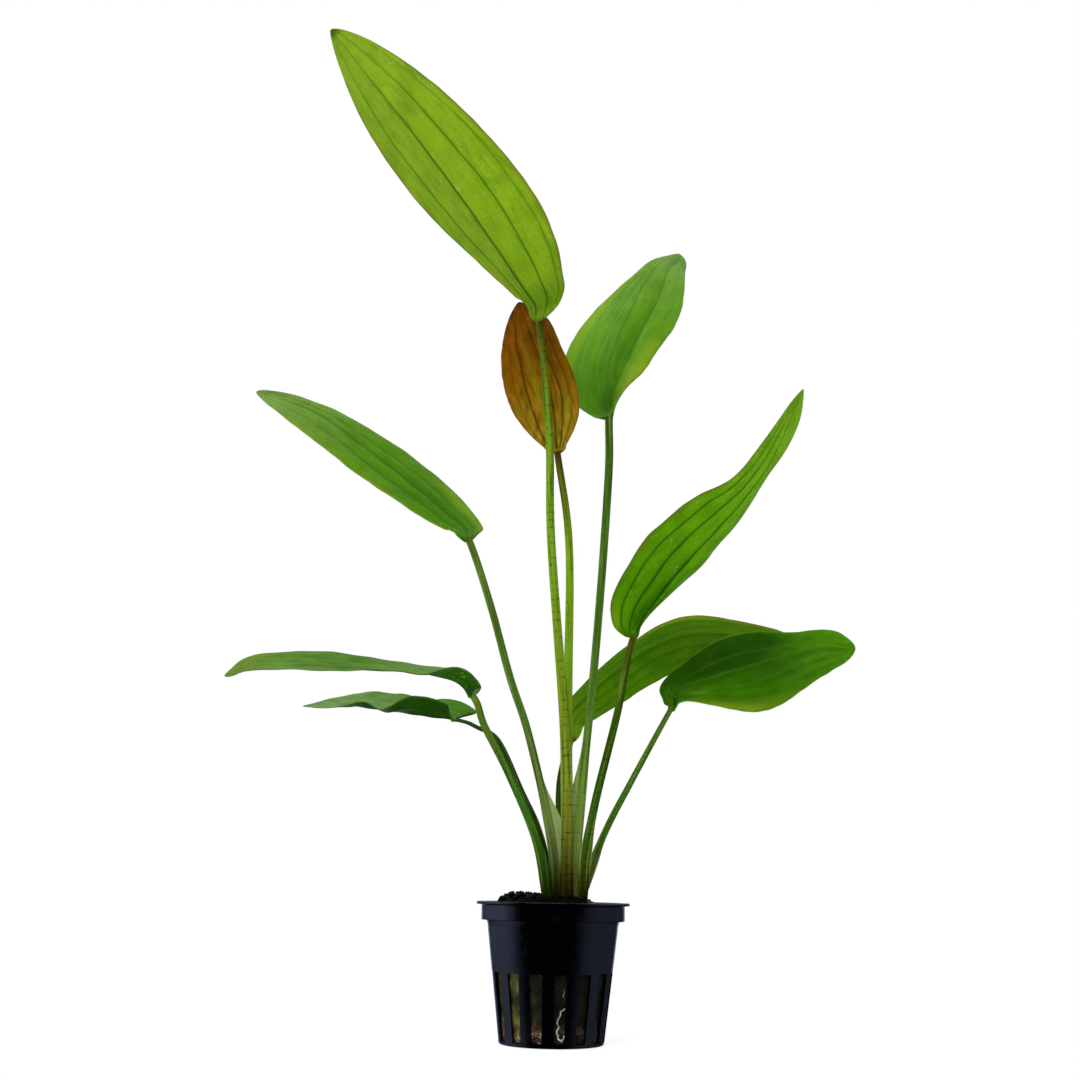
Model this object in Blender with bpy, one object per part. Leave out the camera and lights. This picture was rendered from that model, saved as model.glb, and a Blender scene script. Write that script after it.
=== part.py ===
"""Echinodorus, a rosette water plant, rooted in a 5 cm net pot of mineral wool.

+Z is up, -Y is the front, and the origin is the middle of the pot's foot. The dimensions here
are in millimetres and degrees, and MM turns them into Blender's metres.
"""

import math
from typing import NamedTuple

import bmesh
import bpy
import numpy as np

MM = 0.001
GAP = 0.3  # what is left between two pieces that touch
MERGE = 0.005  # points nearer than this are one
SHARP_ANGLE = 35.0

POT_HEIGHT = 48.5
RIM_DIAMETER = 55.0
RIM_THICKNESS = 1.0
BAND_DIAMETER = 51.3
BAND_DEPTH = 6.4  # from the top of the pot to the step under the band
BODY_TOP_DIAMETER = 47.6
FLARE_TOP_DIAMETER = 46.4
FLARE_HEIGHT = 3.0
FOOT_DIAMETER = 37.2
FOOT_ROUNDING = 0.6
EDGE_ROUNDING = 0.2
WALL = 0.9
BASE_THICKNESS = 1.3
POT_SIDES = 60

STEP_HEIGHT = POT_HEIGHT - BAND_DEPTH
FLARE_FOOT = STEP_HEIGHT - FLARE_HEIGHT

SLOT_COUNT = 15
SLOT_TOP = 24.5
SLOT_WIDE = 13.5  # degrees of the pot's turn at the top of a slot
SLOT_NARROW = 11.5  # the same at its foot
FIRST_SLOT = 8.3  # degrees to the right of the front
SLOT_INNER_RADIUS = FOOT_DIAMETER / 2 - 3
DRAIN_COUNT = 8
DRAIN_INNER_RADIUS = 8.0
DRAIN_OUTER_RADIUS = 14.5
DRAIN_WIDE = 18.0  # degrees

WOOL_FOOT = BASE_THICKNESS + GAP
WOOL_TOP = 45.0
WOOL_BEVEL = 1.0

SOIL_SIDES = 40
SOIL_FOOT = WOOL_TOP + GAP
SOIL_NECK = BODY_TOP_DIAMETER / 2 - WALL - GAP - 0.4  # its radius where it meets the wool
SOIL_SHOULDER = 45.8  # where it widens into the band
SOIL_LOW = 46.8  # its surface by the rim, on the right
SOIL_HIGH = 51.2  # the top of its heap, left of the stalks
SOIL_HEAP_X = -11.0
SOIL_HEAP_REACH = 8.8
SOIL_COLLAR = 49.7  # the soil heaped against the stems
SOIL_COLLAR_X = 3.5
SOIL_COLLAR_REACH = 10.0
SOIL_CRUMB = 0.35
SOIL_RINGS = (0.0, 0.3, 0.6, 0.85)  # shares of the way from the rootstock to the pot's wall

CROWN_CENTRE = (4.6, 0.2)
CROWN_RADII = (10.4, 7.6)
CROWN_TOP = 49.7
CROWN_SIDES = 28
CROWN_TAPER = 0.93
CROWN_RIPPLE = 0.03
CROWN_LOBES = 5
LEAF_FOOT = CROWN_TOP + 0.7  # stalks lean, so one side of a foot is lower than its middle

ROOT_RADIUS = 0.4
ROOT_WAY = [  # (aside, height)
    (1.4, 13.2), (0.2, 12.0), (-0.4, 10.1), (-0.8, 8.7), (-0.3, 7.2), (-0.9, 5.8), (-0.3, 3.4), (1.5, 3.6)
]

LEAF_AROUND = 12
STALK_RINGS = 10
BLADE_RINGS = 16
BLADE_THICKNESS = 0.6
MIDRIB_TAPER = 0.8  # how much of its thickness the midrib loses up to the tip
MIDRIB_FLATTENING = 0.6
MIDRIB_SPREAD = 1.5  # how far it fades into the blade, in stalk radii
SHEATH_END = 0.28  # the share of a stalk that its sheath reaches
BASE_BLEND = 0.05  # the share of a blade in which the stalk flattens into it
LOBE_START = 0.035  # the shares of a blade between which its base reaches back
LOBE_END = 0.22
FRAME_START = 0.07  # a blade's first rings lie square to the midrib here
TANGENT_REACH = 4.0
PATH_STEPS = 40


class Leaf(NamedTuple):
    """One leaf, grown in one piece: a round stalk that flattens into a blade.

    stalk runs from the foot to where the blade begins, and midrib goes on from there to the tip.
    turn is how far the upper face looks away from the front, fold lifts the halves about the
    midrib, and left and right are how much of half_width each half has. These are given at even
    steps from the blade's base to its tip, and fold_right is there where the right half's fold
    differs. curl bends each half on towards its margin, and lobes are how far the left and right
    halves reach back past the blade's base.
    """

    stalk: list
    midrib: list
    radii: tuple
    sheath: float
    half_width: float
    base_fullness: float
    tip_fullness: float
    fold: tuple
    curl: float
    turn: tuple
    left: tuple = (1.0, 1.0)
    right: tuple = (1.0, 1.0)
    fold_right: tuple = ()
    lobes: tuple = (0.0, 0.0)


LEAVES = {
    "leaf_tall": Leaf(
        stalk=[(5, -3.6, LEAF_FOOT), (3.5, -4, 105), (-2.8, -7, 180), (-4.2, -10, 220), (-9, -14, 264.5)],
        midrib=[(-15.5, -21, 276.5), (-49, -33, 320.5), (-88.5, -48, 366.5)],
        radii=(1.7, 1.35), sheath=1.8, half_width=22.9, base_fullness=0.51, tip_fullness=0.69,
        fold=(24, 24), curl=20, turn=(123, 148, 157), fold_right=(18, 18), lobes=(1.5, 0.0),
        left=(0.95, 1.03, 1.0, 1.0, 1.0, 1.0), right=(0.7, 0.72, 0.88, 0.94, 0.9, 0.68),
    ),
    "leaf_young": Leaf(
        stalk=[(4.8, 0.8, LEAF_FOOT), (4.3, 2.5, 121.5), (4, 2, 180), (-1, 3, 217)],
        midrib=[(-4.5, 1, 242.5), (-17, -4, 276)],
        radii=(1.4, 1.3), sheath=1.4, half_width=17.3, base_fullness=0.72, tip_fullness=0.85,
        fold=(29, 29), curl=20, turn=(-10, -22, -15),
        left=(0.9, 1.05, 1.0, 1.0, 1.0, 1.05), right=(0.8, 1.1, 1.05, 0.95, 1.1, 1.2),
    ),
    "leaf_upper_right": Leaf(
        stalk=[(8.3, -1.8, LEAF_FOOT), (9, 0, 72.5), (15, 10, 146), (19.2, 17, 211), (19.4, 21, 237)],
        midrib=[(20, 26, 264), (37, 36, 306), (49.8, 48, 320.1)],
        radii=(1.6, 1.5), sheath=2.1, half_width=18.1, base_fullness=0.67, tip_fullness=0.5,
        fold=(-19, -19), curl=1, turn=(-21, -15, -26, -31),
        left=(1.45, 1.58, 1.22, 0.95, 0.47, 0.55), right=(0.0, 0.88, 0.96, 1.07, 0.91, 0.84),
    ),
    "leaf_right": Leaf(
        stalk=[
            (11.3, -3.8, LEAF_FOOT), (12, -6, 65.5), (14.9, -8.4, 84), (22, -14, 115), (27.5, -19, 142)
        ],
        midrib=[(38.5, -28, 159.5), (71, -40, 196.5), (85, -52, 225.5)],
        radii=(1.6, 1.25), sheath=1.8, half_width=18.1, base_fullness=0.38, tip_fullness=1.0,
        fold=(3, 3), curl=21, turn=(249, 241, 245, 248, 204), fold_right=(7, 7), lobes=(0.0, 1.0),
        left=(0.1, 0.55, 0.85, 1.0, 1.2, 1.35),
        right=(0.9, 1.03, 1.01, 1.04, 1.06, 1.03, 0.9, 0.97, 1.06, 0.92, 0.95),
    ),
    "leaf_lower_right": Leaf(
        stalk=[(11.4, 0.5, LEAF_FOOT), (18, 0, 71.5), (27.9, -3, 92), (41.4, -10, 117)],
        midrib=[(46.5, -14, 125), (90.5, -18, 138.5), (107, -20, 139)],
        radii=(1.3, 0.95), sheath=1.5, half_width=14.4, base_fullness=0.65, tip_fullness=0.64,
        fold=(14, 14), curl=4, turn=(-60, -11, 39, 32), lobes=(2.2, 0.0),
        left=(0.75, 0.75, 0.85, 0.95, 0.95, 1.05), right=(0.9, 1.1, 1.15, 1.1, 1.0, 1.1),
    ),
    "leaf_back_right": Leaf(
        stalk=[(4.2, 4.2, LEAF_FOOT), (1.7, 6.5, 87.5), (5.5, 14, 107.5)],
        midrib=[(9, 24, 123), (47.5, 36, 151), (96.5, 48, 153)],
        radii=(1.5, 1.3), sheath=1.7, half_width=11.2, base_fullness=0.7, tip_fullness=0.74,
        fold=(15, 15), curl=18, turn=(47, 36, 31),
        left=(1.1, 0.95, 0.95, 1.05, 0.9, 1.1), right=(1.0, 1.0, 1.0, 1.1, 1.05, 1.0),
    ),
    "leaf_upper_left": Leaf(
        stalk=[
            (1.2, -0.3, LEAF_FOOT), (-1.5, 2.5, 73.5), (-10.3, 9, 109.5), (-17.7, 12, 131), (-26, 16, 159.5),
            (-35.3, 20, 186)
        ],
        midrib=[(-42.5, 27, 196.5), (-95.8, 38, 239.5), (-128.3, 48, 255.3)],
        radii=(1.5, 1.35), sheath=1.9, half_width=13.3, base_fullness=0.51, tip_fullness=0.61,
        fold=(3, 3), curl=-13, turn=(38, 40, 41), lobes=(0.0, 1.5),
        left=(0.85, 0.95, 1.05, 1.15, 1.2, 0.85), right=(0.85, 1.03, 0.95, 0.8, 0.6, 1.0),
    ),
    "leaf_left": Leaf(
        stalk=[
            (-2.6, -2.6, LEAF_FOOT), (-6.6, -3.5, 70.5), (-16.7, -6.5, 93.3), (-25.8, -10, 110), (-31, -12, 121.3)
        ],
        midrib=[(-46.5, -16, 128.2), (-103.5, -19, 130.7), (-119, -20, 125.5)],
        radii=(1.7, 1.25), sheath=1.9, half_width=14.8, base_fullness=0.46, tip_fullness=0.67,
        fold=(50, 38, 3, -1, -1, -1, -1, -1, -1, -1, -1), curl=7, turn=(62, 76, 71, 65, 55),
        fold_right=(-3, -2, -1, -1), lobes=(4.0, 0.0),
        left=(0.9, 0.95, 1.0, 1.0, 1.0, 1.05), right=(1.1, 0.95, 1.0, 1.05, 1.0, 1.0),
    ),
    "leaf_lower_left": Leaf(
        stalk=[
            (-1.4, 2.4, LEAF_FOOT), (-5, 4.5, 71.5), (-12.6, 7.5, 88.5), (-21.5, 13.5, 107),
            (-29.8, 17.5, 112.3), (-37.9, 21, 115.4)
        ],
        midrib=[(-60.4, 26, 118.6), (-80.8, 33, 121.6), (-100, 38, 121.7)],
        radii=(1.5, 0.8), sheath=1.7, half_width=12.5, base_fullness=0.35, tip_fullness=0.9,
        fold=(45, 43, 38, 26, 8, 17, 16, 6, 2, 2, 2), curl=19, turn=(69, 66, 66),
        fold_right=(6, 11, 5, 0, 5, 11, 13, 12, 11, 10, 10), lobes=(0.0, 3.0),
    ),
}


def material(name, colour, roughness):
    finish = bpy.data.materials.new(name)
    finish.use_nodes = True
    shader = finish.node_tree.nodes["Principled BSDF"]
    shader.inputs["Base Color"].default_value = (*colour, 1.0)
    shader.inputs["Roughness"].default_value = roughness
    shader.inputs["Metallic"].default_value = 0.0
    finish.diffuse_color = (*colour, 1.0)
    return finish


def piece(name, bm, finish):
    """Turns a bmesh in millimetres into a named, smooth-shaded object in metres."""
    bmesh.ops.recalc_face_normals(bm, faces=bm.faces)
    bmesh.ops.scale(bm, vec=(MM, MM, MM), verts=bm.verts)
    mesh = bpy.data.meshes.new(name)
    bm.to_mesh(mesh)
    bm.free()
    mesh.shade_smooth()
    mesh.set_sharp_from_angle(angle=math.radians(SHARP_ANGLE))
    mesh.materials.append(finish)
    obj = bpy.data.objects.new(name, mesh)
    bpy.context.scene.collection.objects.link(obj)
    return obj


def turned(profile, sides):
    """The solid of a closed (radius, height) outline turned round the Z axis."""
    bm = bmesh.new()
    corners = [bm.verts.new((radius, 0.0, height)) for radius, height in profile]
    edges = [bm.edges.new(pair) for pair in zip(corners, corners[1:])]
    bmesh.ops.spin(
        bm, geom=corners + edges, axis=(0, 0, 1), cent=(0, 0, 0), angle=math.tau,
        steps=sides, use_merge=True,
    )
    bmesh.ops.remove_doubles(bm, verts=bm.verts, dist=MERGE)
    return bm


def body_radius(height):
    """The outside radius of the pot's wall below the band."""
    if height <= FLARE_FOOT:
        return np.interp(height, (0, FLARE_FOOT), (FOOT_DIAMETER / 2, FLARE_TOP_DIAMETER / 2))
    share = (height - FLARE_FOOT) / FLARE_HEIGHT
    return FLARE_TOP_DIAMETER / 2 + (BODY_TOP_DIAMETER - FLARE_TOP_DIAMETER) / 2 * share**2


def pot_profile():
    """From the middle of the foot, up the outside, over the rim and down the inside."""
    foot, rim, band = FOOT_DIAMETER / 2, RIM_DIAMETER / 2, BAND_DIAMETER / 2
    rim_foot, e = POT_HEIGHT - RIM_THICKNESS, EDGE_ROUNDING
    middle_of_flare = FLARE_FOOT + 0.6 * FLARE_HEIGHT
    heights = (FOOT_ROUNDING, SLOT_TOP, FLARE_FOOT, middle_of_flare, STEP_HEIGHT)
    outside = [(0, 0), (foot - FOOT_ROUNDING, 0)] + [(body_radius(h), h) for h in heights]
    outside += [(band - e, STEP_HEIGHT), (band, STEP_HEIGHT + e), (band, rim_foot)]
    outside += [(rim - e, rim_foot), (rim, rim_foot + e), (rim, POT_HEIGHT - e), (rim - e, POT_HEIGHT)]
    inside = [(band - WALL + e, POT_HEIGHT), (band - WALL, POT_HEIGHT - e), (band - WALL, STEP_HEIGHT + WALL)]
    inside += [(body_radius(h) - WALL, h) for h in (STEP_HEIGHT, FLARE_FOOT, BASE_THICKNESS)]
    return outside + inside + [(0, BASE_THICKNESS)]


def wedge(bm, middle, low, high):
    """A block round the pot's axis. low and high are (height, inner, outer radius, degrees wide)."""
    rings = []
    for height, inner, outer, wide in (low, high):
        corners = []
        for radius, side in ((inner, -1), (outer, -1), (outer, 1), (inner, 1)):
            bearing = math.radians(middle + side * wide / 2)
            corners.append(bm.verts.new((radius * math.sin(bearing), -radius * math.cos(bearing), height)))
        rings.append(corners)
    bm.faces.new(rings[0])
    bm.faces.new(rings[1][::-1])
    for k in range(4):
        nearer, further = k, (k + 1) % 4
        bm.faces.new((rings[0][nearer], rings[1][nearer], rings[1][further], rings[0][further]))


def openings_cutter():
    """Every side slot and drain opening of the pot, as one set of wedges."""
    bm = bmesh.new()
    for k in range(SLOT_COUNT):
        slot = [
            (height, SLOT_INNER_RADIUS, RIM_DIAMETER / 2, wide)
            for height, wide in ((BASE_THICKNESS, SLOT_NARROW), (SLOT_TOP, SLOT_WIDE))
        ]
        wedge(bm, FIRST_SLOT + 360 / SLOT_COUNT * k, *slot)
    for k in range(DRAIN_COUNT):
        drain = [
            (height, DRAIN_INNER_RADIUS, DRAIN_OUTER_RADIUS, DRAIN_WIDE)
            for height in (-BASE_THICKNESS, 2 * BASE_THICKNESS)
        ]
        wedge(bm, 360 / DRAIN_COUNT * k, *drain)
    cutter = piece("pot_openings", bm, material("cutter", (1, 0, 0), 1.0))
    cutter.hide_render = True
    cutter.display_type = "WIRE"
    return cutter


def net_pot():
    plastic = material("black_plastic", (0.012, 0.012, 0.014), 0.35)
    pot = piece("net_pot", turned(pot_profile(), POT_SIDES), plastic)
    cut = pot.modifiers.new("openings", "BOOLEAN")
    cut.operation = "DIFFERENCE"
    cut.object = openings_cutter()


def mineral_wool():
    """The tapered plug of mineral wool that fills the pot up to the soil."""
    heights = (WOOL_FOOT, SLOT_TOP, FLARE_FOOT, WOOL_TOP - WOOL_BEVEL)
    side = [(body_radius(min(h, STEP_HEIGHT)) - WALL - GAP, h) for h in heights]
    top = [(side[-1][0] - WOOL_BEVEL, WOOL_TOP), (0, WOOL_TOP)]
    plug = turned([(0, WOOL_FOOT)] + side + top, POT_SIDES)
    piece("mineral_wool", plug, material("mineral_wool", (0.16, 0.17, 0.05), 0.95))


def soil_height(x, y):
    """The soil's surface: a heap left of the stalks and a collar round them, above a low rest."""
    heap = math.exp(-((math.hypot(x - SOIL_HEAP_X, 0.8 * y) / SOIL_HEAP_REACH) ** 6))
    collar = math.exp(-((math.hypot(x - SOIL_COLLAR_X, y) / SOIL_COLLAR_REACH) ** 6))
    crumbs = SOIL_CRUMB * math.sin(0.9 * x + 1.3 * y) * math.sin(1.1 * x - 0.7 * y + 1)
    return SOIL_LOW + max((SOIL_HIGH - SOIL_LOW) * heap, (SOIL_COLLAR - SOIL_LOW) * collar) + crumbs


def soil():
    """A ring of crumbly soil on the wool, round the rootstock."""
    outer = BAND_DIAMETER / 2 - WALL - GAP
    rings = [(0, SOIL_FOOT, outer)] + [(share, None, outer) for share in SOIL_RINGS]
    rings += [(1, SOIL_LOW - SOIL_CRUMB, outer), (1, SOIL_SHOULDER, outer), (1, SOIL_FOOT, SOIL_NECK)]
    bm = bmesh.new()
    loops = []
    for share, height, edge in rings:
        loop = []
        for k in range(SOIL_SIDES):
            bearing = math.tau * k / SOIL_SIDES
            hole_x = CROWN_CENTRE[0] + (CROWN_RADII[0] + GAP) * math.cos(bearing)
            hole_y = CROWN_CENTRE[1] + (CROWN_RADII[1] + GAP) * math.sin(bearing)
            x = hole_x + (edge * math.cos(bearing) - hole_x) * share
            y = hole_y + (edge * math.sin(bearing) - hole_y) * share
            loop.append(bm.verts.new((x, y, soil_height(x, y) if height is None else height)))
        loops.append(loop)
    for nearer, further in zip(loops, loops[1:] + loops[:1]):
        for k in range(SOIL_SIDES):
            after = (k + 1) % SOIL_SIDES
            bm.faces.new((nearer[k], nearer[after], further[after], further[k]))
    piece("soil", bm, material("soil", (0.02, 0.016, 0.012), 0.95))


def rootstock():
    """The short woody stem that the leaves and roots grow from."""
    bm = bmesh.new()
    bmesh.ops.create_cone(
        bm, cap_ends=True, segments=CROWN_SIDES, radius1=CROWN_TAPER, radius2=1.0, depth=1.0
    )
    for vert in bm.verts:
        x, y, up = vert.co
        ripple = 1 - CROWN_RIPPLE * (1 + math.sin(CROWN_LOBES * math.atan2(y, x)))
        vert.co = (
            CROWN_CENTRE[0] + CROWN_RADII[0] * x * ripple,
            CROWN_CENTRE[1] + CROWN_RADII[1] * y * ripple,
            SOIL_FOOT + (CROWN_TOP - SOIL_FOOT) * (up + 0.5),
        )
    piece("rootstock", bm, material("rootstock", (0.07, 0.035, 0.015), 0.8))


def white_root():
    """A root that has come out of the wool and runs down inside one slot of the pot."""
    bearing = math.radians(FIRST_SLOT)
    curve = bpy.data.curves.new("white_root", "CURVE")
    curve.dimensions = "3D"
    curve.bevel_depth = ROOT_RADIUS * MM
    curve.bevel_resolution = 1
    curve.resolution_u = 2
    curve.use_fill_caps = True
    spline = curve.splines.new("BEZIER")
    spline.bezier_points.add(len(ROOT_WAY) - 1)
    for point, (aside, height) in zip(spline.bezier_points, ROOT_WAY):
        radius = body_radius(height) - ROOT_RADIUS
        x = radius * math.sin(bearing) + aside * math.cos(bearing)
        y = -radius * math.cos(bearing) + aside * math.sin(bearing)
        point.co = (x * MM, y * MM, height * MM)
        point.handle_left_type = point.handle_right_type = "AUTO"
    curve.materials.append(material("white_root", (0.6, 0.56, 0.45), 0.6))
    bpy.context.scene.collection.objects.link(bpy.data.objects.new("white_root", curve))


def smooth_path(points):
    """Many small steps along a smooth curve that passes through the points."""
    ends = np.array([2 * points[0] - points[1], *points, 2 * points[-1] - points[-2]])
    s = np.linspace(0, 1, PATH_STEPS, endpoint=False)[:, None]
    stretches = []
    for a, b, c, d in zip(ends, ends[1:], ends[2:], ends[3:]):
        bends = (2 * a - 5 * b + 4 * c - d) * s**2 + (3 * b - a - 3 * c + d) * s**3
        stretches.append((2 * b + (c - a) * s + bends) / 2)
    return np.vstack([*stretches, points[-1:]])


def smooth_step(value):
    value = np.clip(value, 0, 1)
    return value * value * (3 - 2 * value)


def profile(values, along):
    """A value that changes smoothly along the blade, read from its values at even steps."""
    curve = smooth_path(np.array(values, float)[:, None])[:, 0]
    return np.interp(along, np.linspace(0, 1, len(curve)), curve)


class Spine:
    """The middle line of a leaf: where it is, which way it runs, and how it is turned."""

    def __init__(self, leaf):
        points = np.array(leaf.stalk + leaf.midrib, float)
        self.way = smooth_path(points)
        steps = np.linalg.norm(np.diff(self.way, axis=0), axis=1)
        self.length = np.concatenate([[0], np.cumsum(steps)])
        self.blade_start = self.length[(len(leaf.stalk) - 1) * PATH_STEPS]
        self.turn = leaf.turn
        self.foot_turn = 180 if 90 < leaf.turn[0] < 270 else 0

    def at(self, length):
        return np.array([np.interp(length, self.length, self.way[:, k]) for k in range(3)])

    def frame(self, along_stalk, along_blade):
        """Place, sideways direction and upper-face direction for a share of the stalk or blade."""
        blade = self.length[-1] - self.blade_start
        length = self.blade_start * along_stalk + blade * along_blade
        seen = length
        if along_stalk >= 1:
            seen = max(length, self.blade_start + FRAME_START * blade)
        ahead, behind = min(seen + TANGENT_REACH, self.length[-1]), max(seen - TANGENT_REACH, 0)
        tangent = self.at(ahead) - self.at(behind)
        tangent /= np.linalg.norm(tangent)
        front = np.array([0, -1, 0]) + tangent[1] * tangent
        front /= np.linalg.norm(front)
        right = np.cross(tangent, front)
        turn = profile(self.turn, along_blade)
        turn = math.radians(self.foot_turn + (turn - self.foot_turn) * smooth_step(along_stalk * 2 - 1))
        face = math.cos(turn) * front + math.sin(turn) * right
        side = math.cos(turn) * right - math.sin(turn) * front
        return self.at(length), side, face


def blade_reach(leaf, along):
    """Half the blade's width, for a share of its length."""
    if not 0 < along < 1:
        return 0.0
    widest = leaf.base_fullness / (leaf.base_fullness + leaf.tip_fullness)
    rise = (along / widest) ** leaf.base_fullness
    return leaf.half_width * rise * ((1 - along) / (1 - widest)) ** leaf.tip_fullness


def leaf_piece(name, leaf, finish):
    spine = Spine(leaf)
    bm = bmesh.new()
    rings = STALK_RINGS + BLADE_RINGS
    bmesh.ops.create_grid(bm, x_segments=LEAF_AROUND, y_segments=rings, size=0.5)
    for vert in bm.verts:
        bearing = math.tau * (vert.co.x + 0.5)
        step = (vert.co.y + 0.5) * rings
        along_stalk = min(step / STALK_RINGS, 1)
        along_blade = (1 - math.cos(math.pi * max(step - STALK_RINGS, 0) / BLADE_RINGS)) / 2
        place, side, face = spine.frame(along_stalk, along_blade)

        stalk = np.interp(along_stalk, (0, 1), leaf.radii) * (1 - MIDRIB_TAPER * along_blade)
        sheath = (leaf.sheath - leaf.radii[0]) * (1 - smooth_step(along_stalk / SHEATH_END))
        share = math.cos(bearing)
        on_right = share > 0
        width = blade_reach(leaf, along_blade) * profile(leaf.right if on_right else leaf.left, along_blade)
        reach = (stalk + sheath + width) * share

        flat = smooth_step(along_blade / BASE_BLEND)
        fold = leaf.fold_right if on_right and leaf.fold_right else leaf.fold
        fold = math.radians(profile(fold, along_blade)) * flat
        bend = math.radians(leaf.curl) * flat / leaf.half_width + 1e-6
        out, lean = abs(reach), fold + bend * abs(reach)
        across = math.copysign((math.sin(lean) - math.sin(fold)) / bend, reach)
        lift = (math.cos(fold) - math.cos(lean)) / bend
        rib = stalk * math.exp(-((max(out - stalk, 0) / (MIDRIB_SPREAD * stalk)) ** 2))
        thick = max(rib * (1 - MIDRIB_FLATTENING * flat), BLADE_THICKNESS / 2)
        lobe = leaf.lobes[on_right] * share**2 * smooth_step(along_blade / LOBE_START)
        back = lobe * (1 - smooth_step(along_blade / LOBE_END))
        forward = np.cross(face, side)
        vert.co = place + across * side + (lift + thick * math.sin(bearing)) * face - back * forward
    bmesh.ops.remove_doubles(bm, verts=bm.verts, dist=MERGE)
    bmesh.ops.holes_fill(bm, edges=bm.edges, sides=0)
    piece(name, bm, finish)


def main():
    for obj in list(bpy.data.objects):
        bpy.data.objects.remove(obj)
    net_pot()
    mineral_wool()
    soil()
    rootstock()
    white_root()
    green = material("green_leaf", (0.16, 0.27, 0.06), 0.4)
    copper = material("young_leaf", (0.22, 0.10, 0.05), 0.4)
    for name, leaf in LEAVES.items():
        leaf_piece(name, leaf, copper if name == "leaf_young" else green)


main()
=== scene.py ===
"""Dresses an echinodorus in its net pot: leaves, stalks, soil, wool, roots and black plastic.

Sizes and places are in millimetres and degrees, and MM turns them into Blender's metres. +Z is up,
-Y is the front, and the origin is the middle of the pot's foot.
"""

import math
import random
from typing import NamedTuple

import bmesh
import bpy
import numpy as np
from mathutils import Matrix, Vector, noise


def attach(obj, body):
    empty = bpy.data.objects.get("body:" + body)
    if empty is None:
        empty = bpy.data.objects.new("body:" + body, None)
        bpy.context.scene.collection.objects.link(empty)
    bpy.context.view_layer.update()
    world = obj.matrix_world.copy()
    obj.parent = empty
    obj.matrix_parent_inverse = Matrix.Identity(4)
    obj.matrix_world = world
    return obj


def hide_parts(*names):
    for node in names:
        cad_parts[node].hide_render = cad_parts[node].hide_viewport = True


MM = 0.001
BODY = "root"
MERGE = 0.0000005  # metres

CAMERA_PLACE = (0.0, -554.0, 54.5)
CAMERA_AIM = (-7.1, 0.0, 181.8)
CAMERA_ROLL = 1.03
CAMERA_LENS = 50.0
CAMERA_SENSOR = 36.0
FLOOR_SHADE = (0.03, 0.12)  # metres from the pot over which its shadow fades out

POT_HEIGHT = 48.5
RIM_DIAMETER = 55.0
RIM_THICKNESS = 1.0
BAND_DIAMETER = 51.3
BAND_DEPTH = 6.4  # from the top of the pot to the step under the band
BODY_TOP_DIAMETER = 47.6
FLARE_TOP_DIAMETER = 46.4
FLARE_HEIGHT = 3.0
FOOT_DIAMETER = 37.2
FOOT_ROUNDING = 0.6
EDGE_ROUNDING = 0.2
WALL = 0.9
BASE_THICKNESS = 1.3
POT_SIDES = 240
STEP_HEIGHT = POT_HEIGHT - BAND_DEPTH
FLARE_FOOT = STEP_HEIGHT - FLARE_HEIGHT

SLOT_COUNT = 15
SLOT_TOP = 24.5
SLOT_WIDE = 13.5  # degrees of the pot's turn at the top of a slot
SLOT_NARROW = 11.5  # the same at its foot
FIRST_SLOT = 8.3  # degrees to the right of the front
SLOT_INNER_RADIUS = FOOT_DIAMETER / 2 - 3
DRAIN_COUNT = 8
DRAIN_INNER_RADIUS = 8.0
DRAIN_OUTER_RADIUS = 14.5
DRAIN_WIDE = 18.0

GAP = 0.3
WOOL_FOOT = BASE_THICKNESS + GAP
WOOL_TOP = 45.0
WOOL_COLUMNS = 360
WOOL_ROWS = 150
WOOL_ROUGHNESS = 0.45
FIBRE_COUNT = 700
FIBRE_HEIGHT = 5.5
FIBRE_RADIUS = 0.07

SOIL_FOOT = WOOL_TOP + GAP
SOIL_RADIUS = BAND_DIAMETER / 2 - WALL - GAP
SOIL_NECK = BODY_TOP_DIAMETER / 2 - WALL - GAP - 0.4
SOIL_LOW = 46.8
SOIL_HIGH = 51.2
SOIL_HEAP_X = -11.0
SOIL_HEAP_REACH = 8.8
SOIL_COLLAR = 49.7  # the soil heaped against the stems
SOIL_COLLAR_X = 3.5
SOIL_COLLAR_REACH = 10.0
CRUMB_COUNT = 900
CRUMB_SMALL = 0.25
CRUMB_LARGE = 0.95

CROWN_CENTRE = (4.6, 0.2)
CROWN_RADII = (10.4, 7.6)
CROWN_TOP = 49.7
LEAF_FOOT = CROWN_TOP - 0.5

ROOT_RADIUS = 0.32
ROOT_WAY = [  # (aside, height)
    (1.7, 13.4), (1.1, 12.9), (0.2, 12.3), (0.2, 11.2), (-0.4, 10.1), (-0.8, 8.7), (-0.3, 7.2), (-0.9, 5.8),
    (-0.5, 4.5), (-0.3, 3.4), (0.6, 2.9), (1.4, 3.4), (1.7, 4.4), (1.4, 3.0), (0.7, 2.1)
]
ROOT_THREAD = [(0.9, 20.0), (1.4, 19.0), (1.0, 17.6), (1.5, 16.6), (1.2, 15.4)]

HALF_COLUMNS = 44  # columns across one face of a leaf
STALK_RINGS = 90
BLADE_RINGS = 150
BLADE_THICKNESS = 0.4
VEIN_CROWD = 0.035  # columns crowd this near to a vein, as a share of half the width
VEIN_WANDER = 0.012
VEIN_RELIEF = 0.14
PLAIT_REACH = 0.14
PUCKER = 0.22
SHEATH_PEAK = 0.17  # of the stalk's length
SHEATH_END = 0.31
MIDRIB_TAPER = 0.8
MARGIN_WANDER = 0.05
MIDRIB_SPREAD = 1.5
BASE_BLEND = 0.04
LOBE_START = 0.035
LOBE_END = 0.22
FRAME_START = 0.07
TANGENT_REACH = 4.0
PATH_STEPS = 40


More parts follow.
